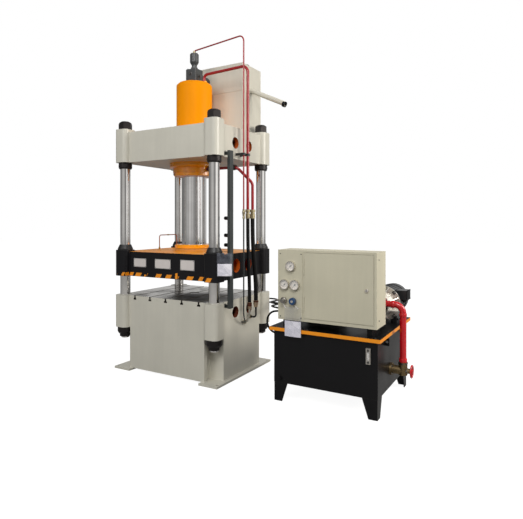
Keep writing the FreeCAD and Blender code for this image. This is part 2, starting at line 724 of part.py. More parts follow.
# --------------------------------------------------------------------------------------
# Main cylinder and what stands on the crosshead
# --------------------------------------------------------------------------------------
def make_cylinder():
    roof = barrel_top - size.head_thick
    outer = turned(
        "barrel",
        [(size.bore_radius, nose_bottom), (size.nose_radius, nose_bottom),
         (size.nose_radius, flange_bottom - size.nose_step),
         (size.flange_radius - 8, flange_bottom), (size.flange_radius, flange_bottom + 8),
         (size.flange_radius, size.crosshead_bottom),
         (size.barrel_radius, size.crosshead_bottom),
         (size.barrel_radius, barrel_top - size.barrel_chamfer),
         (size.barrel_radius - size.barrel_chamfer, barrel_top),
         (0, barrel_top), (0, roof), (size.bore_radius, roof)])
    rod_port = bar("barrel_rod_port", size.pressure_pipe_radius * 0.7,
                   (0, -size.port_side, port_height), size.flange_radius * 2, "x")
    head_port = bar("barrel_head_port", size.pressure_pipe_radius * 0.7,
                    (size.pressure_port_reach, 0, roof - 10), size.head_thick + 20)
    fill_port = bar("barrel_fill_port", size.prefill_pipe_radius, (0, 0, roof - 10),
                    size.head_thick + 20)
    node("cylinder_barrel", cut("barrel_bored", outer, rod_port, head_port, fill_port))
    gland_bottom = nose_bottom - size.gland_height
    rod_hole = size.rod_radius + size.running_gap
    node("gland_ring", turned(
        "gland",
        [(rod_hole, gland_bottom), (size.gland_radius - 6, gland_bottom),
         (size.gland_radius, gland_bottom + 6), (size.gland_radius, nose_bottom),
         (size.bore_radius, nose_bottom), (size.bore_radius, nose_bottom + size.gland_spigot),
         (rod_hole, nose_bottom + size.gland_spigot)]))


def make_prefill_valve():
    base = barrel_top
    top = base + size.prefill_height
    half = size.prefill_half
    blocky = rounded_block("prefill_block", spread(half), spread(half), (base, top),
                           half * 0.12)
    stub_height = base + size.prefill_height / 2
    stub = bar("prefill_stub", size.prefill_pipe_radius,
               (0, half - 1, stub_height), top_tank_front - half + 1, "y")
    flange = bar("prefill_flange", size.prefill_pipe_radius * 1.4, (0, half - 1, stub_height),
                 13, "y")
    node("prefill_valve", join("prefill", blocky, stub, flange))
    foot = size.pilot_foot_height
    neck = foot + size.pilot_neck_height
    shoulder = neck + size.pilot_cone_height
    crown = shoulder + size.pilot_height
    node("pilot_cylinder", turned(
        "pilot",
        [(0, 0), (size.pilot_foot_radius, 0), (size.pilot_foot_radius, foot),
         (size.pilot_neck_radius, foot), (size.pilot_neck_radius, neck),
         (size.pilot_radius, shoulder), (size.pilot_radius, crown),
         (size.pilot_radius - size.pilot_chamfer, crown + size.pilot_chamfer),
         (0, crown + size.pilot_chamfer)], (0, 0, top)))
    return top + crown + size.pilot_chamfer


def make_top_tank():
    base = crosshead_top
    wall = size.top_tank_wall
    shell = block("top_tank_box", (size.top_tank_left, top_tank_right),
                  (top_tank_front, top_tank_back),
                  (base, base + size.top_tank_height))
    inside = block("top_tank_inside",
                   (size.top_tank_left + wall, top_tank_right - wall),
                   (top_tank_front + wall, top_tank_back - wall),
                   (base + wall, base + size.top_tank_height - wall))
    start = (top_tank_right - wall * 2, overflow_depth,
             overflow_start_height)
    outlet = bar("top_tank_outlet", size.overflow_radius - size.overflow_wall, start,
                 wall * 4, "x")
    node("top_oil_tank", cut("top_tank", shell, inside, outlet))
    return shell


def make_overflow_tube(tank_box):
    """A straight open tube that slopes down to the right."""
    start = Vector(float(top_tank_right), float(overflow_depth),
                   float(overflow_start_height))
    direction = Vector(float(size.overflow_run), 0, -float(size.overflow_drop))
    length = direction.Length
    radius = float(size.overflow_radius)
    back_step = direction.normalize() * radius
    outer = Part.makeCylinder(radius, length + radius * 2, start - back_step * 2, direction)
    bore = Part.makeCylinder(radius - float(size.overflow_wall), length + radius * 5,
                             start - back_step * 3, direction)
    doc.recompute()
    thing = doc.addObject("Part::Feature", "overflow")
    thing.Shape = outer.cut(bore).cut(tank_box.Shape)
    node("overflow_tube", thing)


# --------------------------------------------------------------------------------------
# Pipes and hoses down the right side
# --------------------------------------------------------------------------------------
def make_pipes(pilot_top):
    line = riser_line
    thin = size.thin_pipe_radius
    high = pilot_top + size.thin_pipe_rise
    low = port_line_height
    port_y = size.thin_pipe_line + size.thin_port_shift
    node("pilot_pipe", pipe(
        "thin_pipe",
        [(0, 0, pilot_top), (0, 0, high), (line, size.thin_pipe_line, high),
         (line, size.thin_pipe_line, low + size.thin_port_fall),
         (side_x + size.thin_port_reach, port_y, low), (side_x, port_y, low)],
        thin, [size.thin_pipe_bend, size.thin_pipe_sweep, thin * 6, thin * 3]))
    thick = size.pressure_pipe_radius
    node("pressure_pipe", pipe(
        "pressure_riser",
        [(size.pressure_port_reach, 0, barrel_top),
         (size.pressure_port_reach, 0, pressure_height),
         (line, size.pressure_line, pressure_height),
         (line, size.pressure_line, size.pipe_end)],
        thick, [size.pressure_bend, size.riser_bend]))
    riser = pipe(
        "return_riser",
        [(size.nose_radius - size.port_side, -size.port_side, port_height),
         (line - size.return_reach, -size.port_side, port_height),
         (line, size.return_line, port_height - size.return_fall),
         (line, size.return_line, size.pipe_end)],
        thick, [size.riser_bend, size.riser_bend])
    nose = bar("return_saddle", size.nose_radius,
               (0, 0, port_height - size.port_side), size.port_side * 2)
    node("return_pipe", cut("return_run", riser, nose))


def make_hoses():
    """Two rubber hoses that hang between the red pipes and the fittings at the bed."""
    top = size.pipe_end - size.ferrule_length
    drop = top - size.hose_end
    line = riser_line
    for name, radius, y, sway in (
            ("pressure_hose", size.pressure_hose_radius, size.pressure_line,
             size.hose_sway),
            ("return_hose", size.return_hose_radius, size.return_line,
             size.hose_sway * 2)):
        hose(name,
             [(line, y, top), (line, y, top - drop * 0.16),
              (line, y + sway * 0.2, top - drop * 0.4),
              (line, y + sway * 0.7, top - drop * 0.64),
              (line, y + sway, top - drop * 0.86), (line, y + sway, size.hose_end)],
             radius)


def make_port_fittings():
    """Hose couplings, and the short bent pipes from them to the ports in the bed."""
    line = riser_line
    top = size.pipe_end
    seat = top - size.ferrule_length
    low = size.hose_end
    foot = low - size.low_ferrule_length
    tube = size.port_pipe_radius
    couplings = []
    for number, (radius, y, sway) in enumerate((
            (size.pressure_hose_radius, size.pressure_line, size.hose_sway),
            (size.return_hose_radius, size.return_line, size.hose_sway * 2))):
        wide = radius * 1.25
        skirt = seat + size.ferrule_skirt
        nut = top - size.ferrule_nut
        couplings.append(turned(
            f"top_coupling_{number}",
            [(0, seat), (wide, seat), (wide, skirt),
             (wide * 0.8, skirt + size.ferrule_taper), (wide * 0.8, nut),
             (wide * 1.1, nut + size.ferrule_taper), (wide * 1.1, top), (0, top)],
            (line, y, 0)))
        collar = low - size.low_ferrule_skirt
        couplings.append(turned(
            f"low_coupling_{number}",
            [(0, foot), (wide * 0.8, foot), (wide * 0.8, collar - size.ferrule_taper),
             (wide, collar), (wide, low), (0, low)],
            (line, y + sway, 0)))
    node("hose_couplings", group("couplings", *couplings))
    pressure_y = size.pressure_line + size.hose_sway
    return_y = size.return_line + size.hose_sway * 2
    port_y = size.pressure_port_line
    bent = pipe("port_bend_0",
                [(line, pressure_y, foot), (line, pressure_y, foot - size.port_pipe_drop),
                 ((line + side_x) / 2, port_y, port_line_height),
                 (side_x, port_y, port_line_height)],
                tube, [tube * 4, tube * 2])
    elbow = pipe("port_bend_1",
                 [(line, return_y, foot), (line, return_y, return_port_height),
                  (side_x, return_y, return_port_height)], tube, [tube * 3])
    nuts = [hexagon(f"port_nut_{number}", size.port_nut_flats, (side_x, y, height),
                    size.port_nut_length, "x")
            for number, (y, height) in enumerate(((port_y, port_line_height),
                                                  (return_y, return_port_height)))]
    node("port_pipes", group("port_pipe_pair", join("port_pipe_0", bent, nuts[0]),
                             join("port_pipe_1", elbow, nuts[1])))


def make_pipe_clamps():
    """Stand-off arms on the crosshead's side that hold the three risers."""
    height = clamp_height
    arms = []
    for number, (y, radius) in enumerate((
            (size.thin_pipe_line, size.thin_pipe_radius),
            (size.pressure_line, size.pressure_pipe_radius))):
        arm = block(f"clamp_arm_{number}", (side_x, riser_line),
                    (y - size.clamp_half, y + size.clamp_half),
                    (height - size.clamp_half, height + size.clamp_half))
        collar = bar(f"clamp_collar_{number}", radius + size.clamp_wall,
                     (riser_line, y, height - size.clamp_half), size.clamp_half * 2)
        hole = bar(f"clamp_hole_{number}", radius,
                   (riser_line, y, height - size.clamp_half * 2), size.clamp_half * 4)
        arms.append(cut(f"clamp_{number}", join(f"clamp_body_{number}", arm, collar), hole))
    node("pipe_clamps", group("clamps", *arms))


def make_limit_switches():
    """An upright square tube on two brackets, with three proximity switches on it."""
    x = (bar_inner, bar_outer)
    y = (bar_front, bar_back)
    wall = size.bar_wall
    tube = block("switch_bar_tube", x, y, (bar_bottom, bar_top))
    inside = block("switch_bar_inside", (x[0] + wall, x[1] - wall), (y[0] + wall, y[1] - wall),
                   (bar_bottom - wall, bar_top + wall))
    brackets = [block(f"switch_bar_bracket_{number}", (side_x, bar_inner),
                      (switch_line - wall, switch_line + wall * 3),
                      (height, height + size.bracket_height))
                for number, height in enumerate(
                    (bar_bottom, size.crosshead_bottom + size.bracket_height / 2))]
    node("limit_switch_bar", join("switch_bar", cut("switch_bar_hollow", tube, inside),
                                  *brackets))
    switches = []
    for number, height in enumerate((size.switch_low, size.switch_middle,
                                     size.switch_high)):
        start = bar_inner - size.switch_reach
        barrel = bar(f"switch_barrel_{number}", size.switch_radius,
                     (start, switch_line, height), size.switch_reach, "x")
        nut = hexagon(f"switch_nut_{number}", size.switch_nut_flats,
                      (bar_inner - size.switch_nut_length, switch_line, height),
                      size.switch_nut_length, "x")
        switches.append(join(f"switch_{number}", barrel, nut))
    node("limit_switches", group("switches", *switches))


# --------------------------------------------------------------------------------------
# Slide, its guides and the ram
# --------------------------------------------------------------------------------------
def make_slide():
    bottom = size.slide_bottom
    top = slide_top
    half_web = size.web_thick / 2
    outer = join("slide_weldment",
                 block("slide_box", spread(side_x), spread(front_y), (bottom, top)),
                 block("slide_striker", (side_x, side_x + size.striker_reach),
                       (switch_line - size.striker_half, switch_line + size.striker_half),
                       (top - size.striker_height, top)),
                 *bosses("slide", bottom, top + size.slide_boss_rise))
    floor = bottom + size.plate_thick + size.web_thick / 2
    ceiling = top - size.web_thick
    core = bar("slide_core", size.rod_foot_radius + size.web_thick, (0, 0, floor),
               ceiling - floor)
    webs = [block("slide_web_x", spread(side_x), spread(half_web), (floor, ceiling)),
            block("slide_web_y", spread(half_web), spread(front_y), (floor, ceiling))]
    tapped = [bar(f"slide_tapping_{column}_{row}", size.tapping_radius,
                  (size.tapping_pitch * column, size.tapping_pitch * row,
                   bottom - size.tapping_depth), size.tapping_depth * 2)
              for column in (-1.5, -0.5, 0.5, 1.5) for row in (-1, 1)]
    node("slide_block", cut(
        "slide_plates", outer, welded_box("slide", floor, ceiling, core, webs), *tapped,
        *light_holes("slide", slide_hole_height, size.slide_hole_offset,
                     size.slide_hole_radius),
        *column_bores("slide", bottom, top + size.plate_thick, size.bush_radius)))


def make_guides():
    """Bronze-lined guide bushes with a conical wiper cap above each boss."""
    boss_top = slide_top + size.slide_boss_rise
    bore = size.column_radius + size.running_gap
    base = size.wiper_base_radius
    node("guide_bushes", group("bushes", *[
        turned(f"bush_{number}",
               [(bore, size.slide_bottom), (size.bush_radius, size.slide_bottom),
                (size.bush_radius, boss_top), (base, boss_top),
                (base, boss_top + size.wiper_foot),
                (size.wiper_top_radius, boss_top + size.wiper_height),
                (bore, boss_top + size.wiper_height)], (x, y, 0))
        for number, (x, y) in enumerate(corners)]))


def make_ram():
    foot = slide_top
    node("rod_ring", turned(
        "ring",
        [(size.rod_foot_radius, foot), (size.ring_radius, foot),
         (size.ring_radius, foot + size.ring_height - size.ring_chamfer),
         (size.ring_radius - size.ring_chamfer, foot + size.ring_height),
         (size.rod_radius, foot + size.ring_height),
         (size.rod_radius, foot + size.rod_foot_height),
         (size.rod_foot_radius, foot + size.rod_foot_height)]))
    piston = size.bore_radius - size.running_gap
    low = piston_bottom
    high = low + size.piston_height
    land = low + size.piston_land
    groove = piston - size.piston_groove
    node("piston_rod", turned(
        "ram",
        [(0, foot), (size.rod_foot_radius, foot),
         (size.rod_foot_radius, foot + size.rod_foot_height),
         (size.rod_radius, foot + size.rod_foot_height), (size.rod_radius, low),
         (piston, low), (piston, land), (groove, land),
         (groove, land + size.groove_width), (piston, land + size.groove_width),
         (piston, high - size.piston_groove), (groove, high), (0, high)]))


def make_grease_line():
    """A bent copper tube from the slide's top plate to the rear left bush."""
    foot = slide_top
    top = foot + size.grease_rise
    x = grease_line_x
    node("grease_line", pipe(
        "grease_tube",
        [(x, size.grease_front, foot), (x, size.grease_front, top),
         (x, grease_back, top), (x, grease_back, foot)],
        size.grease_radius, [size.grease_bend, size.grease_bend]))


def make_ejector():
    """A knock-out cylinder below the table, with its piston rod and pad."""
    bottom = ejector_bottom
    top = size.bed_top
    bore = size.ejector_radius - size.ejector_wall
    rod_hole = size.ejector_rod_radius + size.running_gap
    gland = top - size.ejector_wall
    node("ejector_cylinder", turned(
        "ejector_barrel",
        [(0, bottom), (size.ejector_radius, bottom), (size.ejector_radius, top),
         (rod_hole, top), (rod_hole, gland), (bore, gland),
         (bore, bottom + size.ejector_wall), (0, bottom + size.ejector_wall)]))
    low = bottom + size.ejector_wall + size.ejector_end_gap
    high = gland - size.ejector_stroke - size.ejector_end_gap
    pad_top = table_top - size.ejector_pad_recess
    chamfer = size.ejector_pad_chamfer
    piston = bore - size.running_gap
    node("ejector_rod", turned(
        "ejector_ram",
        [(0, low), (piston, low), (piston, high), (size.ejector_rod_radius, high),
         (size.ejector_rod_radius, pad_top - size.ejector_pad_height),
         (size.ejector_pad_radius, pad_top - size.ejector_pad_height),
         (size.ejector_pad_radius, pad_top - chamfer),
         (size.ejector_pad_radius - chamfer, pad_top),
         (0, pad_top)]))


# --------------------------------------------------------------------------------------
# Power unit: tank, cover, motor and pump
# --------------------------------------------------------------------------------------
def make_oil_tank():
    wall = size.unit_wall
    x = (size.unit_left, unit_right)
    y = (size.unit_front, unit_back)
    box = block("unit_box", x, y, (size.unit_bottom, unit_top))
    inside = block("unit_inside", (x[0] + wall, x[1] - wall), (y[0] + wall, y[1] - wall),
                   (size.unit_bottom + wall, unit_top + wall))
    outlet = bar("unit_outlet", size.suction_radius,
                 (x[1] - wall * 2, suction_line, suction_port_height),
                 wall * 4, "x")
    lugs = []
    for number, place_y in enumerate((size.front_lug, size.rear_lug)):
        plate = block(f"lug_plate_{number}", (x[1] - wall, x[1] + size.lug_reach),
                      (place_y - wall, place_y + wall),
                      (lug_height - size.lug_half, lug_height + size.lug_half))
        eye = bar(f"lug_eye_{number}", size.lug_eye,
                  (x[1] + size.lug_reach / 2, place_y - wall * 2, lug_height),
                  wall * 4, "y")
        lugs.append(cut(f"lug_{number}", plate, eye))
    node("oil_tank", join("unit_tank", cut("unit_shell", box, inside, outlet), *lugs))
    thick = size.leg_wall
    feet = []
    for number, (right, back) in enumerate(((0, 0), (1, 0), (0, 1), (1, 1))):
        corner_x = x[right]
        corner_y = y[back]
        toward_x = -1 if right else 1
        toward_y = -1 if back else 1
        for side, run in (("x", toward_x), ("y", toward_y)):
            outline = [(0, 0), (size.leg_foot * run, 0), (size.leg_top * run, size.unit_bottom),
                       (0, size.unit_bottom)]
            if run < 0:
                outline.reverse()
            plane = "XZ_Plane" if side == "x" else "YZ_Plane"
            if side == "x":
                corner = (corner_x, corner_y + (0 if back else thick), 0)
            else:
                corner = (corner_x - (thick if right else 0), corner_y, 0)
            feet.append(extruded(f"leg_{number}_{side}", outline, thick, corner, plane))
    pairs = [join(f"leg_{number}", feet[number * 2], feet[number * 2 + 1])
             for number in range(4)]
    node("tank_legs", group("legs", *pairs))


def make_cover():
    over = size.cover_overhang
    sheet_thick = size.cover_sheet
    x = (size.unit_left - over, unit_right + over)
    y = (size.unit_front - over, unit_back + over)
    outer = block("cover_box", x, y, (cover_top - size.cover_thick, cover_top))
    under = block("cover_under", (x[0] + sheet_thick, x[1] - sheet_thick),
                  (y[0] + sheet_thick, y[1] - sheet_thick),
                  (cover_top - size.cover_thick * 2, unit_top))
    node("tank_cover", cut("cover", outer, under))


def make_level_gauge():
    x = gauge_glass_x
    half = size.gauge_glass_half
    front = size.unit_front - size.gauge_glass_depth
    low = gauge_glass_low
    high = low + size.gauge_glass_height
    frame = rounded_block("level_frame", (x - half, x + half), (front, size.unit_front),
                          (low, high), size.gauge_glass_corner)
    window = block("level_window", (x - half / 2, x + half / 2),
                   (front - 4, front + size.gauge_glass_depth / 3),
                   (low + half * 1.6, high - half * 1.6))
    node("level_gauge", cut("level", frame, window))


def make_pump_and_motor():
    x = motor_x
    z = motor_height
    back = size.bell_back
    front = back - size.bell_length
    gap = size.running_gap
    shaft = size.shaft_radius
    pump_shaft = size.pump_shaft_radius
    wall = size.bell_wall
    nose = size.bell_radius * 0.8
    flange = size.bell_length - wall * 2
    throat = size.pump_radius * 0.6
    node("bell_housing", turned(
        "bell",
        [(throat, 0), (nose, 0), (nose, wall), (size.bell_radius, flange),
         (size.bell_flange_radius, flange + size.bell_wall / 2),
         (size.bell_flange_radius, size.bell_length),
         (size.bell_radius - wall, size.bell_length), (nose - wall, wall),
         (throat, wall)],
        (x, front, z), "y"))
    pump_front = front - size.pump_length
    body = turned(
        "pump_body",
        [(pump_shaft + gap, size.pump_length), (nose - wall / 2, size.pump_length),
         (nose - wall / 2, size.pump_length - size.pump_flange),
         (size.pump_radius, size.pump_length - size.pump_flange),
         (size.pump_radius, size.pump_nose),
         (size.pump_radius - size.pump_nose, 0), (0, 0), (0, size.pump_length * 0.4),
         (pump_shaft + gap, size.pump_length * 0.4)],
        (x, pump_front, z), "y")
    pad = size.pad_half
    depth = pad + size.suction_rise / 6
    suction_pad = block("pump_suction_pad", (x, x + size.pump_radius + size.pad_reach),
                        (suction_line - depth, suction_line + depth),
                        (z - pad, z + size.suction_rise + pad))
    outlet = size.delivery_pad_half
    pressure_pad = block("pump_pressure_pad", (x - outlet, x + outlet),
                         (suction_line - outlet, suction_line + outlet),
                         (z, z + size.pump_radius + size.delivery_pad_rise))
    shaft_room = bar("pump_shaft_room", pump_shaft + gap,
                     (x, pump_front + size.pump_length * 0.4, z), size.pump_length, "y")
    node("pump", cut("pump_casting", join("pump_solid", body, suction_pad, pressure_pad),
                     shaft_room))
    frame_back = back + size.motor_length
    skin = size.motor_wall
    end = size.motor_end
    shell = turned(
        "motor_shell",
        [(shaft + gap, 0), (size.motor_radius, 0), (size.motor_radius, size.motor_length),
         (shaft + gap, size.motor_length), (shaft + gap, size.motor_length - end),
         (size.motor_radius - skin, size.motor_length - end),
         (size.motor_radius - skin, end), (shaft + gap, end)],
        (x, back, z), "y")
    seat = size.motor_radius - skin / 2
    saddle = block("motor_feet", (x - size.foot_half, x + size.foot_half),
                   (back + size.foot_inset, frame_back - size.foot_inset), (cover_top, z))
    arch = block("motor_arch", (x - size.foot_half / 2, x + size.foot_half / 2),
                 (back, frame_back), (cover_top - wall, z - seat))
    box = rounded_block("terminal_box",
                        (x + size.terminal_inset,
                         x + size.motor_radius + size.terminal_reach),
                        (back + size.terminal_back,
                         back + size.terminal_back + size.terminal_length),
                        (z + size.terminal_low,
                         z + size.terminal_low + size.terminal_height),
                        size.terminal_corner)
    node("motor_housing", join(
        "motor_frame", shell,
        cut("motor_base", saddle, arch,
            bar("motor_seat", seat, (x, back, z), size.motor_length, "y")),
        cut("motor_terminal_box", box,
            bar("terminal_seat", seat, (x, back, z), size.motor_length, "y"))))
    length = size.fan_cover_length
    thin = size.fan_sheet
    round_off = size.motor_end
    node("fan_cover", turned(
        "fan_shroud",
        [(size.motor_radius, 0), (size.motor_radius, length - skin),
         (size.motor_radius - round_off, length), (size.fan_hub, length),
         (size.fan_hub, length - thin), (size.motor_radius - round_off, length - thin),
         (size.motor_radius - thin, length - skin), (size.motor_radius - thin, 0)],
        (x, frame_back, z), "y"))
    tail = size.bell_length + size.motor_length + length - size.rotor_gap
    fan_back = tail - size.pump_nose
    fan_front = fan_back - size.fan_thick
    fan = size.motor_radius - size.fan_hub
    core = size.motor_radius - size.rotor_gap
    core_front = size.bell_length + size.rotor_end_gap
    core_back = size.bell_length + size.motor_length - size.rotor_end_gap
    node("motor_rotor", turned(
        "rotor",
        [(0, -size.pump_length * 0.5), (pump_shaft, -size.pump_length * 0.5),
         (pump_shaft, wall * 2), (size.coupling_radius, wall * 2),
         (size.coupling_radius, size.coupling_end), (shaft, size.coupling_end),
         (shaft, core_front), (core, core_front), (core, core_back),
         (shaft, core_back), (shaft, fan_front), (fan, fan_front), (fan, fan_back),
         (shaft, fan_back), (shaft, tail), (0, tail)],
        (x, front, z), "y"))


def make_suction_line():
    y = suction_line
    wall = unit_right
    z = suction_port_height
    axis_x = unit_right + size.valve_reach
    flange = bar("valve_flange", size.valve_radius * 1.4, (wall, y, z), size.valve_flange,
                 "x")
    flow = bar("valve_inlet", size.valve_radius, (wall, y, z), size.valve_reach, "x")
    riser = bar("valve_outlet", size.valve_radius, (axis_x, y, z - size.valve_radius),
                size.valve_height)
    bonnet = bar("valve_bonnet", size.valve_radius * 0.6, (axis_x, y, z),
                 size.bonnet_length, "x")
    stem_start = axis_x + size.wheel_hub
    stem_hole = bar("valve_stem_hole", size.stem_radius + size.running_gap,
                    (stem_start, y, z), size.bonnet_length, "x")
    node("suction_valve", cut("valve", join("valve_body", flange, flow, riser, bonnet),
                              stem_hole))
    wheel_x = axis_x + size.wheel_reach
    rim_radius = size.wheel_rim
    stem = bar("wheel_stem", size.stem_radius, (stem_start + rim_radius, y, z),
               size.stem_length, "x")
    hub = bar("wheel_hub", size.stem_radius * 2, (wheel_x - rim_radius, y, z),
              size.wheel_hub, "x")
    rim = doc.addObject("Part::Torus", "wheel_rim")
    bind(rim, "Radius1", size.wheel_radius)
    bind(rim, "Radius2", rim_radius)
    place(rim, (wheel_x + rim_radius / 3, y, z), "x")
    half = rim_radius - 1
    across = (wheel_x - rim_radius / 3, wheel_x + rim_radius)
    spokes = [block("wheel_spoke_y", across,
                    (y - size.wheel_radius, y + size.wheel_radius), (z - half, z + half)),
              block("wheel_spoke_z", across, (y - half, y + half),
                    (z - size.wheel_radius, z + size.wheel_radius))]
    node("suction_handwheel", join("wheel", stem, hub, rim, *spokes))
    top = motor_height + size.suction_rise
    node("suction_pipe", pipe(
        "suction_riser",
        [(axis_x, y, z + size.valve_height - size.valve_radius), (axis_x, y, top),
         (motor_x + size.pump_radius + size.pad_reach, y, top)],
        size.suction_radius, [size.suction_bend]))


def make_manifold():
    """The valve block behind the cabinet, its four solenoid valves and pressure pipe."""
    low = cover_top
    high = low + size.manifold_height
    x = (manifold_left, manifold_left + size.manifold_width)
    y = (manifold_front, manifold_front + size.manifold_depth)
    pitch = size.manifold_width / 4
    step_back = y[1] - size.solenoid_inset
    valves = []
    for number in range(4):
        centre = x[0] + pitch * (number + 0.5)
        body = block(f"valve_body_{number}",
                     (centre - size.solenoid_half, centre + size.solenoid_half),
                     (y[0] + size.solenoid_inset, step_back),
                     (high, high + size.solenoid_height))
        coil = block(f"valve_coil_{number}",
                     (centre - size.coil_half, centre + size.coil_half),
                     (step_back, step_back + size.coil_length),
                     (high + 2, high + size.solenoid_height - 2))
        valves.append(join(f"valve_{number}", body, coil))
    node("solenoid_valves", group("valves", *valves))
    line = suction_line
    start = motor_height + size.pump_radius + size.delivery_pad_rise
    top = start + size.delivery_rise
    down_x = x[1] + size.delivery_rise
    entry = low + size.manifold_height / 2
    delivery = pipe(
        "delivery",
        [(motor_x, line, start), (motor_x, line, top), (down_x, line, top),
         (down_x, line, entry), (x[1], line, entry)],
        size.delivery_radius, [size.delivery_bend] * 3)
    node("valve_manifold", join("manifold", block("manifold_block", x, y, (low, high)),
                                delivery))


# --------------------------------------------------------------------------------------
# Control cabinet
# --------------------------------------------------------------------------------------
def hinge_heights():
    """Where the lower and the upper hinge of the door begin."""
    return (door_bottom + size.hinge_inset,
            door_top - size.hinge_inset - size.hinge_length * 2)


def make_cabinet():
    wall = size.cabinet_wall
    front = cabinet_front
    margin = size.hatch_margin
    box = rounded_block("cabinet_box", (cabinet_left, cabinet_right),
                        (front, cabinet_back), (cabinet_bottom, cabinet_top),
                        size.cabinet_corner)
    divider = (panel_right + door_left) / 2
    electrics = block("cabinet_room", (divider + wall, cabinet_right - wall),
                      (front + wall, cabinet_back - wall),
                      (cabinet_bottom + wall, cabinet_top - wall))
    gauges = block("cabinet_gauge_room", (cabinet_left + wall, divider),
                   (front + wall, cabinet_back - wall),
                   (cabinet_bottom + wall, cabinet_top - wall))
    doorway = block("cabinet_doorway", (door_left - size.door_gap,
                                        door_right + size.door_gap),
                    (front - wall, front + wall * 2),
                    (door_bottom - size.door_gap, door_top + size.door_gap))
    hatch = block("cabinet_hatch", (panel_left + margin, panel_right - margin),
                  (front - wall, front + wall * 2),
                  (panel_bottom + margin, panel_top - margin))
    shell = cut("cabinet_sheet", box, electrics, gauges, doorway, hatch)
    inset = size.support_inset
    supports = [block(f"cabinet_support_{number}", (x, x + size.support_width),
                      (front + size.support_depth_inset,
                       cabinet_back - size.support_depth_inset),
                      (cover_top, cabinet_bottom))
                for number, x in enumerate((cabinet_left + inset,
                                            cabinet_right - inset - size.support_width))]
    middle_gap = size.hinge_length + size.hinge_gap
    fixed = []
    for number, low in enumerate(hinge_heights()):
        span = (low + middle_gap, low + middle_gap + size.hinge_length)
        fixed.append(bar(f"hinge_fixed_{number}", size.hinge_radius,
                         (door_left, door_front, span[0]), size.hinge_length))
        fixed.append(block(f"hinge_leaf_{number}",
                           (door_left - size.hinge_leaf, door_left),
                           (front - size.panel_thick, front), span))
    hinge_room = bar("cabinet_hinge_room", size.hinge_radius + size.running_gap,
                     (door_left, door_front, door_bottom), size.door_height)
    node("cabinet_shell", join("cabinet", cut("cabinet_hinged", shell, hinge_room),
                               *supports, *fixed))
    knobs = [(steel_knob_x, steel_knob_z), (blue_knob_x, blue_knob_z)]
    gauges_at = [(top_gauge_x, top_gauge_z), (left_gauge_x, low_gauge_z),
                 (right_gauge_x, low_gauge_z)]
    plate = block("panel_sheet", (panel_left, panel_right),
                  (front - size.panel_thick, front), (panel_bottom, panel_top))
    holes = [bar(f"panel_knob_hole_{number}", size.knob_stem + size.running_gap,
                 (x, front - size.panel_thick * 2, z), size.panel_thick * 4, "y")
             for number, (x, z) in enumerate(knobs)]
    holes += [bar(f"panel_gauge_hole_{number}", size.gauge_stem,
                  (x, front - size.panel_thick * 2, z), size.panel_thick * 4, "y")
              for number, (x, z) in enumerate(gauges_at)]
    node("panel_plate", cut("panel", plate, *holes))
    face = front - size.panel_thick
    names = ("top", "left", "right")
    pin = size.needle_pin + size.running_gap
    cases = []
    depth = size.gauge_depth
    rim = size.gauge_rim
    floor = size.gauge_floor
    for name, (x, z) in zip(names, gauges_at):
        cases.append(turned(
            f"gauge_case_{name}",
            [(pin, 0), (size.gauge_radius - rim, 0), (size.gauge_radius, -rim),
             (size.gauge_radius, -depth), (size.gauge_radius - rim, -depth),
             (size.gauge_radius - rim, -floor), (pin, -floor)],
            (x, face, z), "y"))
        swept = size.gauge_radius * 0.51
        tail = size.gauge_radius * 0.18
        pointer = extruded(
            f"needle_pointer_{name}",
            [(-swept, -swept), (tail + 1.6, tail - 1.6), (tail - 1.6, tail + 1.6)],
            size.needle_thick, (x, face - depth + size.needle_rise, z), "XZ_Plane")
        needle = join(f"needle_{name}", pointer,
                      bar(f"needle_pin_{name}", size.needle_pin,
                          (x, face - depth + floor, z), depth - rim, "y"))
        node(f"gauge_needle_{name}", needle)
    node("gauge_cases", group("gauges", *cases))
    return face


def make_knobs(face):
    """The pressure regulator's knob with its side lever, and the round blue valve knob."""
    stem = size.knob_stem
    x, z = steel_knob_x, steel_knob_z
    body = turned("steel_knob_body",
                  [(0, size.panel_thick + 14), (stem, size.panel_thick + 14), (stem, -3),
                   (20, -3), (24, -8), (24, -30), (17, -34), (17, -52), (13, -56), (0, -56)],
                  (x, face, z), "y")
    lever = bar("steel_knob_lever", 5, (x - 52, face - 20, z - 3), 34, "x")
    grip = bar("steel_knob_grip", 9, (x - 62, face - 20, z - 3), 16, "x")
    node("regulator_knob", join("steel_knob", body, lever, grip))
    node("gauge_valve_knob", turned(
        "blue_knob",
        [(0, size.panel_thick + 14), (stem, size.panel_thick + 14), (stem, -4), (24, -4),
         (29, -10), (29, -32), (25, -38), (0, -38)],
        (blue_knob_x, face, blue_knob_z), "y"))


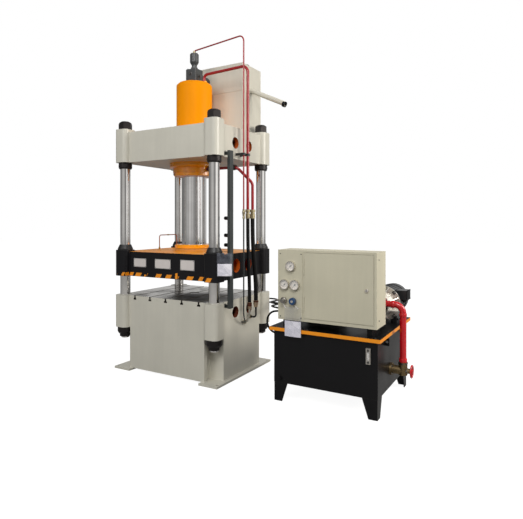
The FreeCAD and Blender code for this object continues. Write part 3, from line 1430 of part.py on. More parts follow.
def make_door():
    """A folded sheet door, hung on its left edge, with a round lock near its right edge."""
    front = cabinet_front - size.door_proud
    back = front + size.door_thick
    x = (door_left, door_right)
    z = (door_bottom, door_top)
    wall = size.cabinet_wall
    leaf = rounded_block("door_leaf", x, (front, back), z, size.door_corner)
    hollow = block("door_hollow", (x[0] + wall, x[1] - wall), (front + wall, back + wall),
                   (z[0] + wall, z[1] - wall))
    lock_hole = bar("door_lock_hole", size.lock_radius + size.running_gap,
                    (lock_x, front - wall, lock_z), wall * 3, "y")
    moving = []
    rooms = []
    pivot = (door_left, door_front)
    for number, low in enumerate(hinge_heights()):
        moving.append(bar(f"hinge_moving_{number}", size.hinge_radius, (*pivot, low),
                          size.hinge_length))
        rooms.append(bar(f"door_hinge_room_{number}", size.hinge_radius + size.hinge_gap,
                         (*pivot, low + size.hinge_length),
                         size.hinge_length + size.hinge_gap * 2))
    node("cabinet_door", cut("door", join("door_hung", cut("door_sheet", leaf, hollow,
                                                           lock_hole), *moving), *rooms))
    radius = size.lock_radius
    head = radius + size.lock_head
    barrel = turned("lock_barrel",
                    [(0, 22), (radius, 22), (radius, -1), (head, -1),
                     (head, -8), (head - 3, -12), (0, -12)],
                    (lock_x, front, lock_z), "y")
    half = size.lock_cam_half
    cam = block("lock_cam", (lock_x - half, lock_x + size.lock_cam),
                (front + 14, front + 18), (lock_z - half, lock_z + half))
    node("door_lock", join("lock", barrel, cam))
    back_face = cabinet_back - wall * 4
    edge = size.gear_plate_edge
    pad = size.gear_pad
    sides = (x[0] + size.gear_plate_left, x[1] - size.gear_plate_right)
    plate = block("electrics_plate", sides, (back_face, back_face + wall),
                  (z[0] + edge, z[1] - edge))
    pads = [block(f"electrics_pad_{number}", (place_x, place_x + pad),
                  (cabinet_back - wall * 3, cabinet_back - wall), (place_z, place_z + pad))
            for number, (place_x, place_z) in enumerate(
                [(place_x, place_z) for place_x in (sides[0] + pad, sides[1] - pad * 2)
                 for place_z in (z[0] + edge + pad, z[1] - edge - pad * 2)])]
    gear = []
    wide, large = size.wide_gear, size.large_gear
    medium, small = size.medium_gear, size.small_gear
    top_row = z[1] - size.gear_top_drop
    for row, (height, depth, widths) in enumerate((
            (top_row, size.middle_gear, (large, large, small, small)),
            (top_row - size.gear_row, size.deep_gear, (medium, medium, medium, wide)),
            (z[0] + size.gear_low_rise, size.shallow_gear, (small,) * 5))):
        start = x[0] + size.gear_inset
        for column, width in enumerate(widths):
            gear.append(block(f"gear_{row}_{column}", (start, start + width),
                              (back_face - depth, back_face),
                              (height, height + size.gear_height)))
            start = start + width + size.gear_gap
    node("electrics", join("electrics_group", plate, *pads, *gear))


# --------------------------------------------------------------------------------------
# Hoses between the press and its power unit
# --------------------------------------------------------------------------------------
def make_unit_hoses():
    """Two thin lines from the press's back to the manifold, and the tank's thick loop."""
    back = front_y
    port_x = size.supply_port_x
    end_x = manifold_left
    high = size.supply_port_height
    rise = cover_top + size.manifold_height * 0.75
    hose("supply_hose",
         [(port_x, back, high), (port_x, back + 75, high), (port_x + 55, back + 130, high + 2),
          (port_x + 140, back + 132, high + 6), (port_x + 230, back + 95, high + 14),
          (port_x + 305, back + 25, high + 22), (port_x + 345, back - 65, high + 30),
          (port_x + 360, back - 168, high + 38), (port_x + 382, back - 276, high + 48),
          (port_x + 440, back - 360, high + 58), (port_x + 523, back - 405, high + 62),
          (end_x - 290, back - 440, rise + 8), (end_x - 200, back - 486, rise + 6),
          (end_x - 104, back - 540, rise), (end_x, back - 540, rise)],
         size.line_hose_radius)
    low = high - size.line_pitch
    sink = rise - size.line_pitch - 8
    hose("drain_hose",
         [(port_x + 24, back, low), (port_x + 24, back + 75, low),
          (port_x + 79, back + 129, low + 2), (port_x + 160, back + 127, low + 8),
          (port_x + 247, back + 88, low + 16), (port_x + 322, back + 18, low + 24),
          (port_x + 358, back - 76, low + 32), (port_x + 370, back - 176, low + 40),
          (port_x + 392, back - 276, low + 50), (port_x + 452, back - 350, low + 58),
          (port_x + 535, back - 388, low + 60), (end_x - 285, back - 418, sink + 14),
          (end_x - 195, back - 446, sink + 8), (end_x - 104, back - 464, sink),
          (end_x, back - 464, sink)], size.line_hose_radius)
    line = size.loop_line
    middle = size.loop_height
    reach = size.loop_radius / math.cos(math.radians(15))
    turn = [(size.loop_x + reach * math.cos(math.radians(angle)), line,
             middle + reach * math.sin(math.radians(angle)))
            for angle in range(105, 256, 30)]
    top = middle + size.loop_radius
    bottom = middle - size.loop_radius
    hose("loop_hose",
         [(end_x, line, top + 8), (end_x - 120, line, top + 8),
          (end_x - 250, line + 3, top + 6), *turn,
          (size.loop_x + 72, line + 2, bottom), (size.unit_left, line + 2, bottom)],
         size.loop_hose_radius)


node_steps = [make_bed, make_table, make_columns, make_nuts, make_crosshead, make_cylinder]
for step in node_steps:
    step()
pilot_top = make_prefill_valve()
make_overflow_tube(make_top_tank())
make_pipes(pilot_top)
make_hoses()
for step in (make_port_fittings, make_pipe_clamps, make_limit_switches, make_slide,
             make_guides, make_ram, make_grease_line, make_ejector, make_oil_tank,
             make_cover, make_level_gauge, make_pump_and_motor, make_suction_line,
             make_manifold):
    step()
panel_face = make_cabinet()
make_knobs(panel_face)
make_door()
make_unit_hoses()

# --------------------------------------------------------------------------------------
# Check and write
# --------------------------------------------------------------------------------------
doc.recompute()
for thing in doc.Objects:
    if "Invalid" in thing.State or "Error" in thing.State:
        raise ValueError(f"{thing.Name} is {thing.State}")
for thing in nodes:
    if thing.Shape.isNull() or not thing.Shape.isValid():
        raise ValueError(f"{thing.Label} has no valid shape")
for thing in nodes:
    thing.Shape.exportStep(f"parts/{thing.Label}.step")
    box = thing.Shape.BoundBox
    print(f"{thing.Label}: {len(thing.Shape.Solids)} solids, "
          f"x {box.XMin:.0f} {box.XMax:.0f}, y {box.YMin:.0f} {box.YMax:.0f}, "
          f"z {box.ZMin:.0f} {box.ZMax:.0f}")
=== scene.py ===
# A four-column hydraulic press and its power unit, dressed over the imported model.
# +Z is up, +X is to the right of the press and +Y to its back. Lengths are in metres.
import math

import bmesh
import bpy
from mathutils import Matrix, Vector


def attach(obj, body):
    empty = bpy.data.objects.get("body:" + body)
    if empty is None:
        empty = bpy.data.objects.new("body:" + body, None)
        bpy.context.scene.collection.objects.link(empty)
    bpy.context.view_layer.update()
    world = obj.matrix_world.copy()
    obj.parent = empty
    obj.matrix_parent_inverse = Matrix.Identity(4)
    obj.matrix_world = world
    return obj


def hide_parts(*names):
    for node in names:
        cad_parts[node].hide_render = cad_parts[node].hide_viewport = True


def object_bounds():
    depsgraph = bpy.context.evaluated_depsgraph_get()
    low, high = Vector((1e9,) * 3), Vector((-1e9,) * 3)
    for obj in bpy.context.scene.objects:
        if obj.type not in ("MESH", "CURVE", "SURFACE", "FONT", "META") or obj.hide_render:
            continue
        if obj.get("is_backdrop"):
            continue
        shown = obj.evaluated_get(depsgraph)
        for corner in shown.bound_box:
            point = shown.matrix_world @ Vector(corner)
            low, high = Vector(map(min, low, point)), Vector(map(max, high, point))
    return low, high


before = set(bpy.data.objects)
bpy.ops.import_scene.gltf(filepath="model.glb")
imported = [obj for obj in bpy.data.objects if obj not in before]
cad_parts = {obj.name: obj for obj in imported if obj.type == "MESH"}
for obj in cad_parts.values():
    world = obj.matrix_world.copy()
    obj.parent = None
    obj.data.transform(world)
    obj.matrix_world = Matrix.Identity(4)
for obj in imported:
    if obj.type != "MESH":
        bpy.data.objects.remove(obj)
cad_low, cad_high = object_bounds()
scene = bpy.context.scene
scene.view_settings.view_transform = "Standard"

# ---------------------------------------------------------------------------------------
# Camera: level, at eye height, off the press's front right corner. Its numbers in pixels
# come from a picture 523 pixels wide.
# ---------------------------------------------------------------------------------------
picture_width, focal_pixels = 523, 478.08
horizon_row, middle_row = 221.02, 259.5
sensor_width = 36
camera_data = bpy.data.cameras.new("camera")
camera_data.sensor_width = sensor_width
camera_data.lens = focal_pixels / picture_width * sensor_width
camera_data.shift_y = (horizon_row - middle_row) / picture_width
camera_data.clip_end = 100
camera = bpy.data.objects.new("camera", camera_data)
camera.location = (3.0592, -3.9338, 1.480)
camera.rotation_euler = (math.pi / 2, 0, math.radians(29.88))
scene.collection.objects.link(camera)
scene.camera = camera

# ---------------------------------------------------------------------------------------
# Studio: white floor and backdrop, one broad soft lamp from the right and weaker ones
# from the front and the far right. Bright metal sees soft screens and dark gaps round it.
# ---------------------------------------------------------------------------------------


def set_sockets(tree, node, **sockets):
    """Give inputs a value or the output that feeds them; i0 is a node's first input."""
    for name, value in sockets.items():
        socket = node.inputs[int(name[1:]) if name[1:].isdigit()
                             else name.replace("_", " ")]
        if isinstance(value, bpy.types.NodeSocket):
            tree.links.new(value, socket)
        else:
            socket.default_value = value
    return node


def place_node(tree, kind, operation=None, **sockets):
    node = tree.nodes.new("ShaderNode" + kind)
    if operation:
        node.operation = operation
    return set_sockets(tree, node, **sockets)


def calc(tree, operation, *values):
    return place_node(tree, "Math", operation,
                      **{f"i{step}": value for step, value in enumerate(values)}).outputs[0]


def split(tree, place):
    return place_node(tree, "SeparateXYZ", i0=place).outputs


def scaled(tree, value, low, high, new_low, new_high):
    return place_node(tree, "MapRange", Value=value, From_Min=low, From_Max=high,
                      To_Min=new_low, To_Max=new_high).outputs[0]


# Compass angle from +X, in degrees, and how bright the studio is that way.
screens = ((-180, 0.22), (-166, 0.26), (-152, 0.12), (-136, 0.30), (-118, 0.50),
           (-108, 0.26), (-94, 0.80), (-84, 0.30), (-72, 0.58), (-60, 0.34), (-42, 0.21),
           (-28, 0.22), (-20, 0.80), (-13, 2.30), (14, 2.30), (22, 0.70), (32, 0.28),
           (60, 0.28), (76, 0.50), (92, 0.70), (106, 0.42), (118, 0.50), (129, 0.85),
           (137, 0.30), (144, 0.08), (168, 0.10))
world = bpy.data.worlds.new("studio")
scene.world = world
world.use_nodes = True
sky = world.node_tree
sky.nodes.clear()
way = split(sky, place_node(sky, "TexCoord").outputs["Generated"])
compass = scaled(sky, calc(sky, "ARCTAN2", way["Y"], way["X"]), -math.pi, math.pi, 0.0, 1.0)
bands = place_node(sky, "ValToRGB", Fac=compass)
bands.color_ramp.interpolation = "B_SPLINE"
band_stops = bands.color_ramp.elements
while len(band_stops) < len(screens):
    band_stops.new(0.5)
for band, (angle, bright) in zip(band_stops, screens):
    band.position = (angle + 180) / 360
    band.color = (bright, bright, bright, 1)
ray = place_node(sky, "LightPath").outputs
light = place_node(sky, "Background", Color=(0.93, 0.96, 1.0, 1), Strength=0.33)
mirrored = place_node(sky, "Background", Color=bands.outputs["Color"])
backdrop = place_node(sky, "Background", Color=(1, 1, 1, 1), Strength=1.0)
unseen = place_node(sky, "MixShader", Fac=ray["Is Glossy Ray"], i1=light.outputs[0],
                    i2=mirrored.outputs[0])
seen = calc(sky, "MAXIMUM", ray["Is Camera Ray"], ray["Is Transmission Ray"])
whole = place_node(sky, "MixShader", Fac=seen, i1=unseen.outputs[0],
                   i2=backdrop.outputs[0])
place_node(sky, "OutputWorld", Surface=whole.outputs[0])


def soft_lamp(name, place, aim, size, power, colour=(1, 1, 1)):
    data = bpy.data.lights.new(name, "AREA")
    data.shape = "RECTANGLE"
    data.size, data.size_y = size
    data.energy = power
    data.color = colour
    lamp = bpy.data.objects.new(name, data)
    lamp.location = place
    lamp.rotation_euler = (Vector(aim) - Vector(place)).to_track_quat("-Z", "Y").to_euler()
    scene.collection.objects.link(lamp)
    return lamp


lamps = (soft_lamp("key_lamp", (3.9, -5.6, 6.4), (0.7, 0, 1.7), (3.0, 3.0), 300),
         soft_lamp("front_lamp", (-1.4, -8.5, 5.4), (0.6, 0, 1.6), (4.5, 3.0), 200),
         soft_lamp("side_lamp", (5.4, 1.2, 3.2), (0.7, 0, 2.3), (2.4, 2.0), 190,
                   (1.0, 0.965, 0.91)))

# How bright the floor is to the camera, and in bright metal.
floor_seen, floor_mirrored = 0.93, 0.16
floor_reach = 30
floor_mesh = bpy.data.meshes.new("studio_floor")
floor_mesh.from_pydata([(right * floor_reach, back * floor_reach, 0)
                        for right, back in ((-1, -1), (1, -1), (1, 1), (-1, 1))], [],
                       [(0, 1, 2, 3)])
floor = bpy.data.objects.new("studio_floor", floor_mesh)
scene.collection.objects.link(floor)
floor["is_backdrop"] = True
floor_paint = bpy.data.materials.new("studio_floor")
floor_paint.use_nodes = True
floor_mesh.materials.append(floor_paint)
tree = floor_paint.node_tree
ray = place_node(tree, "LightPath").outputs
seen = calc(tree, "MAXIMUM", ray["Is Camera Ray"], ray["Is Transmission Ray"])
glow = calc(tree, "MULTIPLY_ADD", seen, floor_seen,
            calc(tree, "MULTIPLY", ray["Is Glossy Ray"], floor_mirrored))
set_sockets(tree, tree.nodes["Principled BSDF"], Base_Color=(0.24, 0.235, 0.225, 1),
            Roughness=0.9, Specular_IOR_Level=0.1, Emission_Color=(1, 1, 1, 1),
            Emission_Strength=glow)

# ---------------------------------------------------------------------------------------
# Bed and crosshead: hollow weldments of thick plate, ground smooth, filled and sprayed
# with warm grey enamel that carries a faint orange peel. Inside they keep their primer.
# ---------------------------------------------------------------------------------------


def object_place(tree):
    return place_node(tree, "TexCoord").outputs["Object"]


def noise(tree, place, scale, detail, **sockets):
    return place_node(tree, "TexNoise", Vector=place, Scale=scale, Detail=detail,
                      **sockets).outputs[0]


def mix_colours(tree, share, first, second):
    node = tree.nodes.new("ShaderNodeMix")
    node.data_type = "RGBA"
    return set_sockets(tree, node, i0=share, i6=first, i7=second).outputs[2]


def linear(colour):
    """sRGB numbers from 0 to 255 as a scene-linear colour."""
    return tuple((c / 12.92 if c <= 0.04045 else ((c + 0.055) / 1.055) ** 2.4)
                 for c in (value / 255 for value in colour)) + (1.0,)


def shader_group(name, **inputs):
    """A node group that puts out a colour, a roughness and a height for relief."""
    group = bpy.data.node_groups.new(name, "ShaderNodeTree")
    for socket, value in inputs.items():
        kind = ("Float" if isinstance(value, float) else "Color" if len(value) == 4
                else "Vector")
        group.interface.new_socket(name=socket.replace("_", " "), in_out="INPUT",
                                   socket_type="NodeSocket" + kind).default_value = value
    for socket, kind in (("Color", "Color"), ("Roughness", "Float"), ("Height", "Float")):
        group.interface.new_socket(name=socket, in_out="OUTPUT",
                                   socket_type="NodeSocket" + kind)
    return group, group.nodes.new("NodeGroupInput").outputs, group.nodes.new(
        "NodeGroupOutput")


# Sprayed enamel: slight patches and runs of tone, worn edges and orange peel.
enamel, given, enamel_out = shader_group(
    "sprayed_enamel", Paint=(0.5, 0.5, 0.5, 1), Worn_Colour=(0.3, 0.28, 0.25, 1),
    Patchiness=0.05, Wear=0.3, Edge=0.002, Roughness=0.35)
where = object_place(enamel)
patches = noise(enamel, where, 3.0, 5.0)
specks = noise(enamel, where, 90.0, 3.0)
runs = place_node(enamel, "VectorMath", "MULTIPLY", i0=where, i1=(26.0, 26.0, 1.6))
runs = noise(enamel, runs.outputs[0], 1.0, 3.0)
shade = calc(enamel, "ADD", scaled(enamel, patches, 0.3, 0.7, -1.0, 1.0),
             scaled(enamel, runs, 0.3, 0.7, -0.5, 0.5))
shade = calc(enamel, "ADD", calc(enamel, "MULTIPLY", shade, given["Patchiness"]), 1.0)
toned = place_node(enamel, "VectorMath", "SCALE", i0=given["Paint"], Scale=shade)
rounded = place_node(enamel, "Bevel", Radius=given["Edge"])
rounded.samples = 4
flat = place_node(enamel, "NewGeometry").outputs["Normal"]
alike = place_node(enamel, "VectorMath", "DOT_PRODUCT", i0=rounded.outputs[0], i1=flat)
edge = scaled(enamel, alike.outputs["Value"], 0.995, 0.80, 0.0, 1.0)
broken = scaled(enamel, specks, 0.42, 0.62, 0.0, 1.0)
worn = calc(enamel, "MULTIPLY", calc(enamel, "MULTIPLY", edge, broken), given["Wear"])
gloss = scaled(enamel, patches, 0.3, 0.7, -0.06, 0.06)
set_sockets(enamel, enamel_out,
            Color=mix_colours(enamel, worn, toned.outputs[0], given["Worn Colour"]),
            Roughness=calc(enamel, "ADD", gloss, given["Roughness"]),
            Height=noise(enamel, where, 260.0, 2.0))


def new_finish(name, node_group, relief, depth, inputs, **sockets):
    """A material that takes its colour, roughness and relief from a node group."""
    finish = bpy.data.materials.new(name)
    finish.use_nodes = True
    tree = finish.node_tree
    group = tree.nodes.new("ShaderNodeGroup")
    group.node_tree = node_group
    set_sockets(tree, group, **inputs)
    if depth:
        sockets["Normal"] = place_node(tree, "Bump", Strength=relief, Distance=depth,
                                       Height=group.outputs["Height"]).outputs[0]
    set_sockets(tree, tree.nodes["Principled BSDF"], Base_Color=group.outputs["Color"],
                Roughness=group.outputs["Roughness"], **sockets)
    return finish


def enamel_finish(name, colour, worn_colour=(90, 84, 76), patchiness=0.04, wear=0.35,
                  edge=0.002, roughness=0.38, coat=0.15, peel_height=0.00006,
                  specular=0.5):
    """A painted material made from the sprayed enamel group."""
    return new_finish(name, enamel, 0.6, peel_height,
                      dict(Paint=linear(colour), Worn_Colour=linear(worn_colour),
                           Patchiness=patchiness, Wear=wear, Edge=edge,
                           Roughness=roughness),
                      Coat_Weight=coat, Coat_Roughness=0.2, Specular_IOR_Level=specular)


def dress(finish, *names):
    """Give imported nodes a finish."""
    for name in names:
        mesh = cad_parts[name].data
        mesh.materials.clear()
        mesh.materials.append(finish)


def dress_faces(name, finish, chosen):
    """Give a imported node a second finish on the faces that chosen(centre, normal) picks."""
    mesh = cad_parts[name].data
    mesh.materials.append(finish)
    slot = len(mesh.materials) - 1
    for face in mesh.polygons:
        if chosen(face.center, face.normal):
            face.material_index = slot


# Just outside the side plates of bed, crosshead and slide, just inside them, the edges of
# their corner bosses, and their light holes.
wall_x, wall_y = 0.5855, 0.4455
inner_x, inner_y = 0.5455, 0.4055
boss_x, boss_y = 0.472, 0.342
bed_boss, crosshead_boss = (0.421, 0.739), (2.068, 2.369)
hole_y, hole_radius = 0.123, 0.0545
table_low = 0.681
frame_grey = enamel_finish("frame_grey_enamel", (202, 198, 184))
dress(frame_grey, "press_bed", "crosshead")
oxide_primer = enamel_finish("oxide_primer", (150, 74, 22), (90, 50, 24), patchiness=0.18,
                             roughness=0.6, coat=0.0)
dress_faces("press_bed", oxide_primer, lambda spot, way:
            (abs(spot.x) < 0.3985 and abs(spot.y) < inner_y
             or abs(spot.x) < inner_x and abs(spot.y) < 0.2925)
            and 0.049 < spot.z < table_low)
dress_faces("crosshead", oxide_primer, lambda spot, way:
            abs(spot.x) < inner_x and abs(spot.y) < inner_y and 2.106 < spot.z < 2.331)
# The light holes' bores take two copies of one primer: a brighter one in the crosshead,
# painted light for its lit side, and a darker one in the bed, painted shade for its side in
# shade.
bore_primer = enamel_finish("lit_bore_primer", (190, 84, 20), (110, 60, 24),
                            patchiness=0.18, roughness=0.55, coat=0.0)
shaded_primer = enamel_finish("shaded_bore_primer", (112, 52, 30), (70, 40, 24),
                            patchiness=0.18, roughness=0.6, coat=0.0)
for holed, hole_height, primer in (("press_bed", 0.618, shaded_primer),
                                   ("crosshead", 2.221, bore_primer)):
    dress_faces(holed, primer, lambda spot, way:
                abs(spot.x) > inner_x and abs(way.x) < 0.5
                and math.hypot(abs(spot.y) - hole_y, spot.z - hole_height) < hole_radius)


# Directions of the frame, and the signs of its four corners.
LEFT, RIGHT = (-1, 0, 0), (1, 0, 0)
FRONT, BACK = (0, -1, 0), (0, 1, 0)
DOWN, UP = (0, 0, -1), (0, 0, 1)
CORNERS = [(right, back) for right in (-1, 1) for back in (-1, 1)]


def axes_of(way):
    """A direction and two directions across it."""
    way = Vector(way).normalized()
    across = way.cross(Vector(UP) if abs(way.z) < 0.9 else Vector(RIGHT))
    across.normalize()
    return way, across, way.cross(across)


def add_tube(mesh, points, radius, sides=10, swell=None):
    """A round rod along points; swell(step) scales its radius on the way."""
    points = [Vector(point) for point in points]
    rings = []
    across = None
    for step, point in enumerate(points):
        before = points[max(step - 1, 0)]
        after = points[min(step + 1, len(points) - 1)]
        way = (after - before).normalized()
        if across is None:
            across = axes_of(way)[1]
        across = (across - way * across.dot(way)).normalized()
        other = way.cross(across)
        here = radius * (swell(step) if swell else 1.0)
        rings.append([mesh.verts.new(point + (across * math.cos(math.tau * side / sides)
                                              + other * math.sin(math.tau * side / sides))
                                     * here) for side in range(sides)])
    for first, second in zip(rings, rings[1:]):
        for side in range(sides):
            after = (side + 1) % sides
            mesh.faces.new((first[side], first[after], second[after], second[side]))
    mesh.faces.new(list(reversed(rings[0])))
    mesh.faces.new(rings[-1])


def add_weld(mesh, start, end, size=0.005, pitch=0.007):
    """A weld bead with the ripples of its passes."""
    start, end = Vector(start), Vector(end)
    count = max(2, int((end - start).length / pitch * 2))
    add_tube(mesh, [start.lerp(end, step / count) for step in range(count + 1)], size, 8,
             lambda step: 1.0 if step % 2 else 0.86)


def add_corner_welds(mesh, *beads):
    """The rear right corner's beads, each with start, end and size, at all four corners."""
    for right, back in CORNERS:
        for start, end, size in beads:
            add_weld(mesh, *[(x * right, y * back, z) for x, y, z in (start, end)], size)


def boss_beads(low, high):
    """The upright beads where the side plates meet a corner boss."""
    return [((boss_x, wall_y, low), (boss_x, wall_y, high), 0.004),
            ((wall_x, boss_y, low), (wall_x, boss_y, high), 0.004)]


def finish_piece(name, mesh, finish, body="frame", angle=34):
    """Turn a grown mesh into a piece that rides on a body."""
    data = bpy.data.meshes.new(name)
    bmesh.ops.recalc_face_normals(mesh, faces=mesh.faces[:])
    mesh.to_mesh(data)
    mesh.free()
    data.shade_smooth()
    data.set_sharp_from_angle(angle=math.radians(angle))
    data.materials.append(finish)
    piece = bpy.data.objects.new(name, data)
    scene.collection.objects.link(piece)
    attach(piece, body)
    return piece


# Beads where plates meet at the corner bosses and the skids.
skid_top = 0.0205
welds = bmesh.new()
add_corner_welds(welds, *boss_beads(*bed_boss), *boss_beads(*crosshead_boss),
                 ((0.430, 0.444, skid_top), (0.455, 0.444, skid_top), 0.005),
                 ((0.4585, 0.406, skid_top), (0.4585, 0.444, skid_top), 0.005),
                 ((wall_x, 0.03, skid_top), (wall_x, 0.321, skid_top), 0.005),
                 ((0.430, 0.3225, skid_top), (0.584, 0.3225, skid_top), 0.005),
                 ((0.4285, 0.324, 0.022), (0.4285, 0.404, 0.418), 0.0035))
finish_piece("frame_welds", welds, frame_grey, angle=60)

# ---------------------------------------------------------------------------------------
# Table: a planed steel plate with five T-slots, oiled against rust. The planer's passes
# run along the slots and scribed setting-out lines cross them.
# ---------------------------------------------------------------------------------------
# Machined metal: fine lines along one direction, with faint stains.
grain, given, grain_out = shader_group(
    "machined_grain", Steel=(0.6, 0.6, 0.6, 1), Stretch=(1, 1, 1), Contrast=0.1,
    Roughness=0.3)
where = object_place(grain)
drawn = place_node(grain, "VectorMath", "MULTIPLY", i0=where, i1=given["Stretch"])
lines = noise(grain, drawn.outputs[0], 1.0, 4.0, Roughness=0.65)
stains = noise(grain, where, 7.0, 4.0)
tone = calc(grain, "MULTIPLY", scaled(grain, lines, 0.3, 0.7, -1.0, 1.0),
            given["Contrast"])
tone = calc(grain, "ADD", tone, scaled(grain, stains, 0.3, 0.7, 0.93, 1.05))
rough = calc(grain, "ADD", scaled(grain, lines, 0.3, 0.7, -0.3, 0.3),
             scaled(grain, stains, 0.4, 0.7, 0.0, 0.4))
rough = calc(grain, "MULTIPLY", rough, given["Contrast"])
set_sockets(grain, grain_out, Height=lines,
            Color=place_node(grain, "VectorMath", "SCALE", i0=given["Steel"],
                             Scale=tone).outputs[0],
            Roughness=calc(grain, "ADD", rough, given["Roughness"]))


def metal_finish(name, colour, stretch, contrast, roughness, metallic=1.0, height=0.0):
    """A bare metal material made from the machined grain group."""
    return new_finish(name, grain, 0.5, height,
                      dict(Steel=linear(colour), Stretch=stretch, Contrast=contrast,
                           Roughness=roughness), Metallic=metallic)


def open_finish(finish):
    """A finish's node tree, shader and group outputs, and the place on the object."""
    tree = finish.node_tree
    group = next(made for made in tree.nodes if made.type == "GROUP")
    return tree, tree.nodes["Principled BSDF"], group.outputs, object_place(tree)


table_top, scribe_spacing = 0.740, 0.178
slot_steel = metal_finish("slot_steel", (112, 104, 92), (12, 260, 260), 0.25, 0.5)
dress(slot_steel, "bolster_table")
planed_steel = metal_finish("planed_steel", (172, 168, 160), (120, 5, 120), 0.35, 0.09)
tree, shader, made, place = open_finish(planed_steel)
cross = calc(tree, "PINGPONG", split(tree, place)["Y"], scribe_spacing / 2)
scribed = calc(tree, "MULTIPLY", scaled(tree, cross, 0.0012, 0.0026, 1.0, 0.0), 0.85)
oil = scaled(tree, noise(tree, place, 4.5, 5.0, Distortion=0.6), 0.44, 0.62, 0.0, 0.45)
# Towards a spot in the front of its right half the table turns darker and duller; the oil
# mask takes this spot in as well.
spot_reach = place_node(tree, "VectorMath", "DISTANCE", i0=place,
                    i1=(0.24, -0.20, table_top)).outputs["Value"]
oil = calc(tree, "MAXIMUM", oil, scaled(tree, spot_reach, 0.16, 0.48, 1.0, 0.0))
tint = mix_colours(tree, oil, made["Color"], linear((72, 67, 60)))
set_sockets(tree, shader,
            Base_Color=mix_colours(tree, scribed, tint, linear((58, 54, 50))),
            Roughness=calc(tree, "MULTIPLY_ADD", oil, 0.34, made["Roughness"]))
dress_faces("bolster_table", planed_steel, lambda spot, way:
            way.z > 0.9 and spot.z > table_top - 0.001)
dress_faces("bolster_table", frame_grey, lambda spot, way:
            abs(way.z) < 0.1 and (abs(spot.y) > wall_y - 0.0006
                                  or abs(spot.x) > wall_x - 0.0006)
            or way.z < -0.9 and spot.z < table_low)
turned_steel = metal_finish("turned_steel", (186, 184, 178), (40, 40, 420), 0.12, 0.32)
dress(turned_steel, "ejector_cylinder", "ejector_rod", "motor_rotor")

# ---------------------------------------------------------------------------------------
# Columns and piston rod: hard-chromed, ground bright, with a film of oil. They mirror the
# screens and what stands near them, and the lamps leave no glare on them.
# ---------------------------------------------------------------------------------------
column_x, column_y = 0.550, 0.420
columns = ["column_front_left", "column_front_right", "column_rear_left",
           "column_rear_right"]
dress(metal_finish("ground_chrome", (232, 229, 225), (10, 10, 60), 0.02, 0.11), *columns)
dress(metal_finish("polished_chrome", (236, 233, 230), (8, 8, 60), 0.02, 0.08),
      "piston_rod")
mirrors = bpy.data.collections.new("mirrors")
for name in columns + ["piston_rod"]:
    mirrors.objects.link(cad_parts[name])
for unlit in mirrors.collection_objects:
    unlit.light_linking.link_state = "EXCLUDE"
for lamp in lamps:
    lamp.light_linking.receiver_collection = mirrors

# ---------------------------------------------------------------------------------------
# Column nuts and lock collars: turned steel, blackened in hot oil. Each collar is
# pinched tight by three socket screws.
# ---------------------------------------------------------------------------------------


def add_turned(mesh, foot, way, outline, sides=24):
    """A turned form: (radius, height) points swept round the line from foot along way."""
    way, across, other = axes_of(way)
    foot = Vector(foot)
    rings = []
    for radius, height in outline:
        middle = foot + way * height
        if radius < 1e-6:
            rings.append([mesh.verts.new(middle)])
            continue
        rings.append([mesh.verts.new(
            middle + (across * math.cos(math.tau * step / sides)
                      + other * math.sin(math.tau * step / sides)) * radius)
            for step in range(sides)])
    for first, second in zip(rings, rings[1:]):
        for step in range(sides):
            after = (step + 1) % sides
            if len(first) == 1:
                mesh.faces.new((first[0], second[step], second[after]))
            elif len(second) == 1:
                mesh.faces.new((first[step], first[after], second[0]))
            else:
                mesh.faces.new((first[step], first[after], second[after], second[step]))


def add_cap_screw(mesh, foot, way, radius, height):
    """A socket cap screw with its hexagon recess."""
    add_turned(mesh, foot, way,
               [(0, 0), (radius, 0), (radius, height * 0.9), (radius * 0.93, height),
                (radius * 0.58, height), (radius * 0.56, height * 0.45),
                (0, height * 0.45)], 24)


black_steel = metal_finish("blackened_steel", (34, 30, 29), (60, 60, 300), 0.25, 0.42, 0.6)
dress(black_steel, "column_nuts", "crosshead_collars")
collar_radius, collar_height = 0.0655, 2.036
collar_screws = bmesh.new()
for right, back in CORNERS:
    for angle in (-60, 60, 180):
        way = (math.sin(math.radians(angle)) * right,
               math.cos(math.radians(angle)) * back, 0)
        add_cap_screw(collar_screws, (column_x * right + way[0] * collar_radius,
                                      column_y * back + way[1] * collar_radius,
                                      collar_height),
                      way, 0.007, 0.003)
finish_piece("collar_screws", collar_screws, black_steel)

# ---------------------------------------------------------------------------------------
# Main cylinder: a forged barrel with its flange and gland, in gloss yellow enamel. Its
# head is closed by two large socket screws.
# ---------------------------------------------------------------------------------------


def copied(finish, name):
    finish = finish.copy()
    finish.name = name
    return finish


cylinder_yellow = enamel_finish("cylinder_yellow_enamel", (247, 149, 0), roughness=0.45,
                                coat=0.0, patchiness=0.03, specular=0.06,
                                worn_colour=(150, 90, 20))
flange_yellow = enamel_finish("flange_yellow_enamel", (255, 162, 0), roughness=0.26,
                              coat=0.5, patchiness=0.05, worn_colour=(170, 100, 20))
dress(cylinder_yellow, "cylinder_barrel")
dress(flange_yellow, "gland_ring")
dress_faces("cylinder_barrel", flange_yellow, lambda spot, way: spot.z < 2.0665)
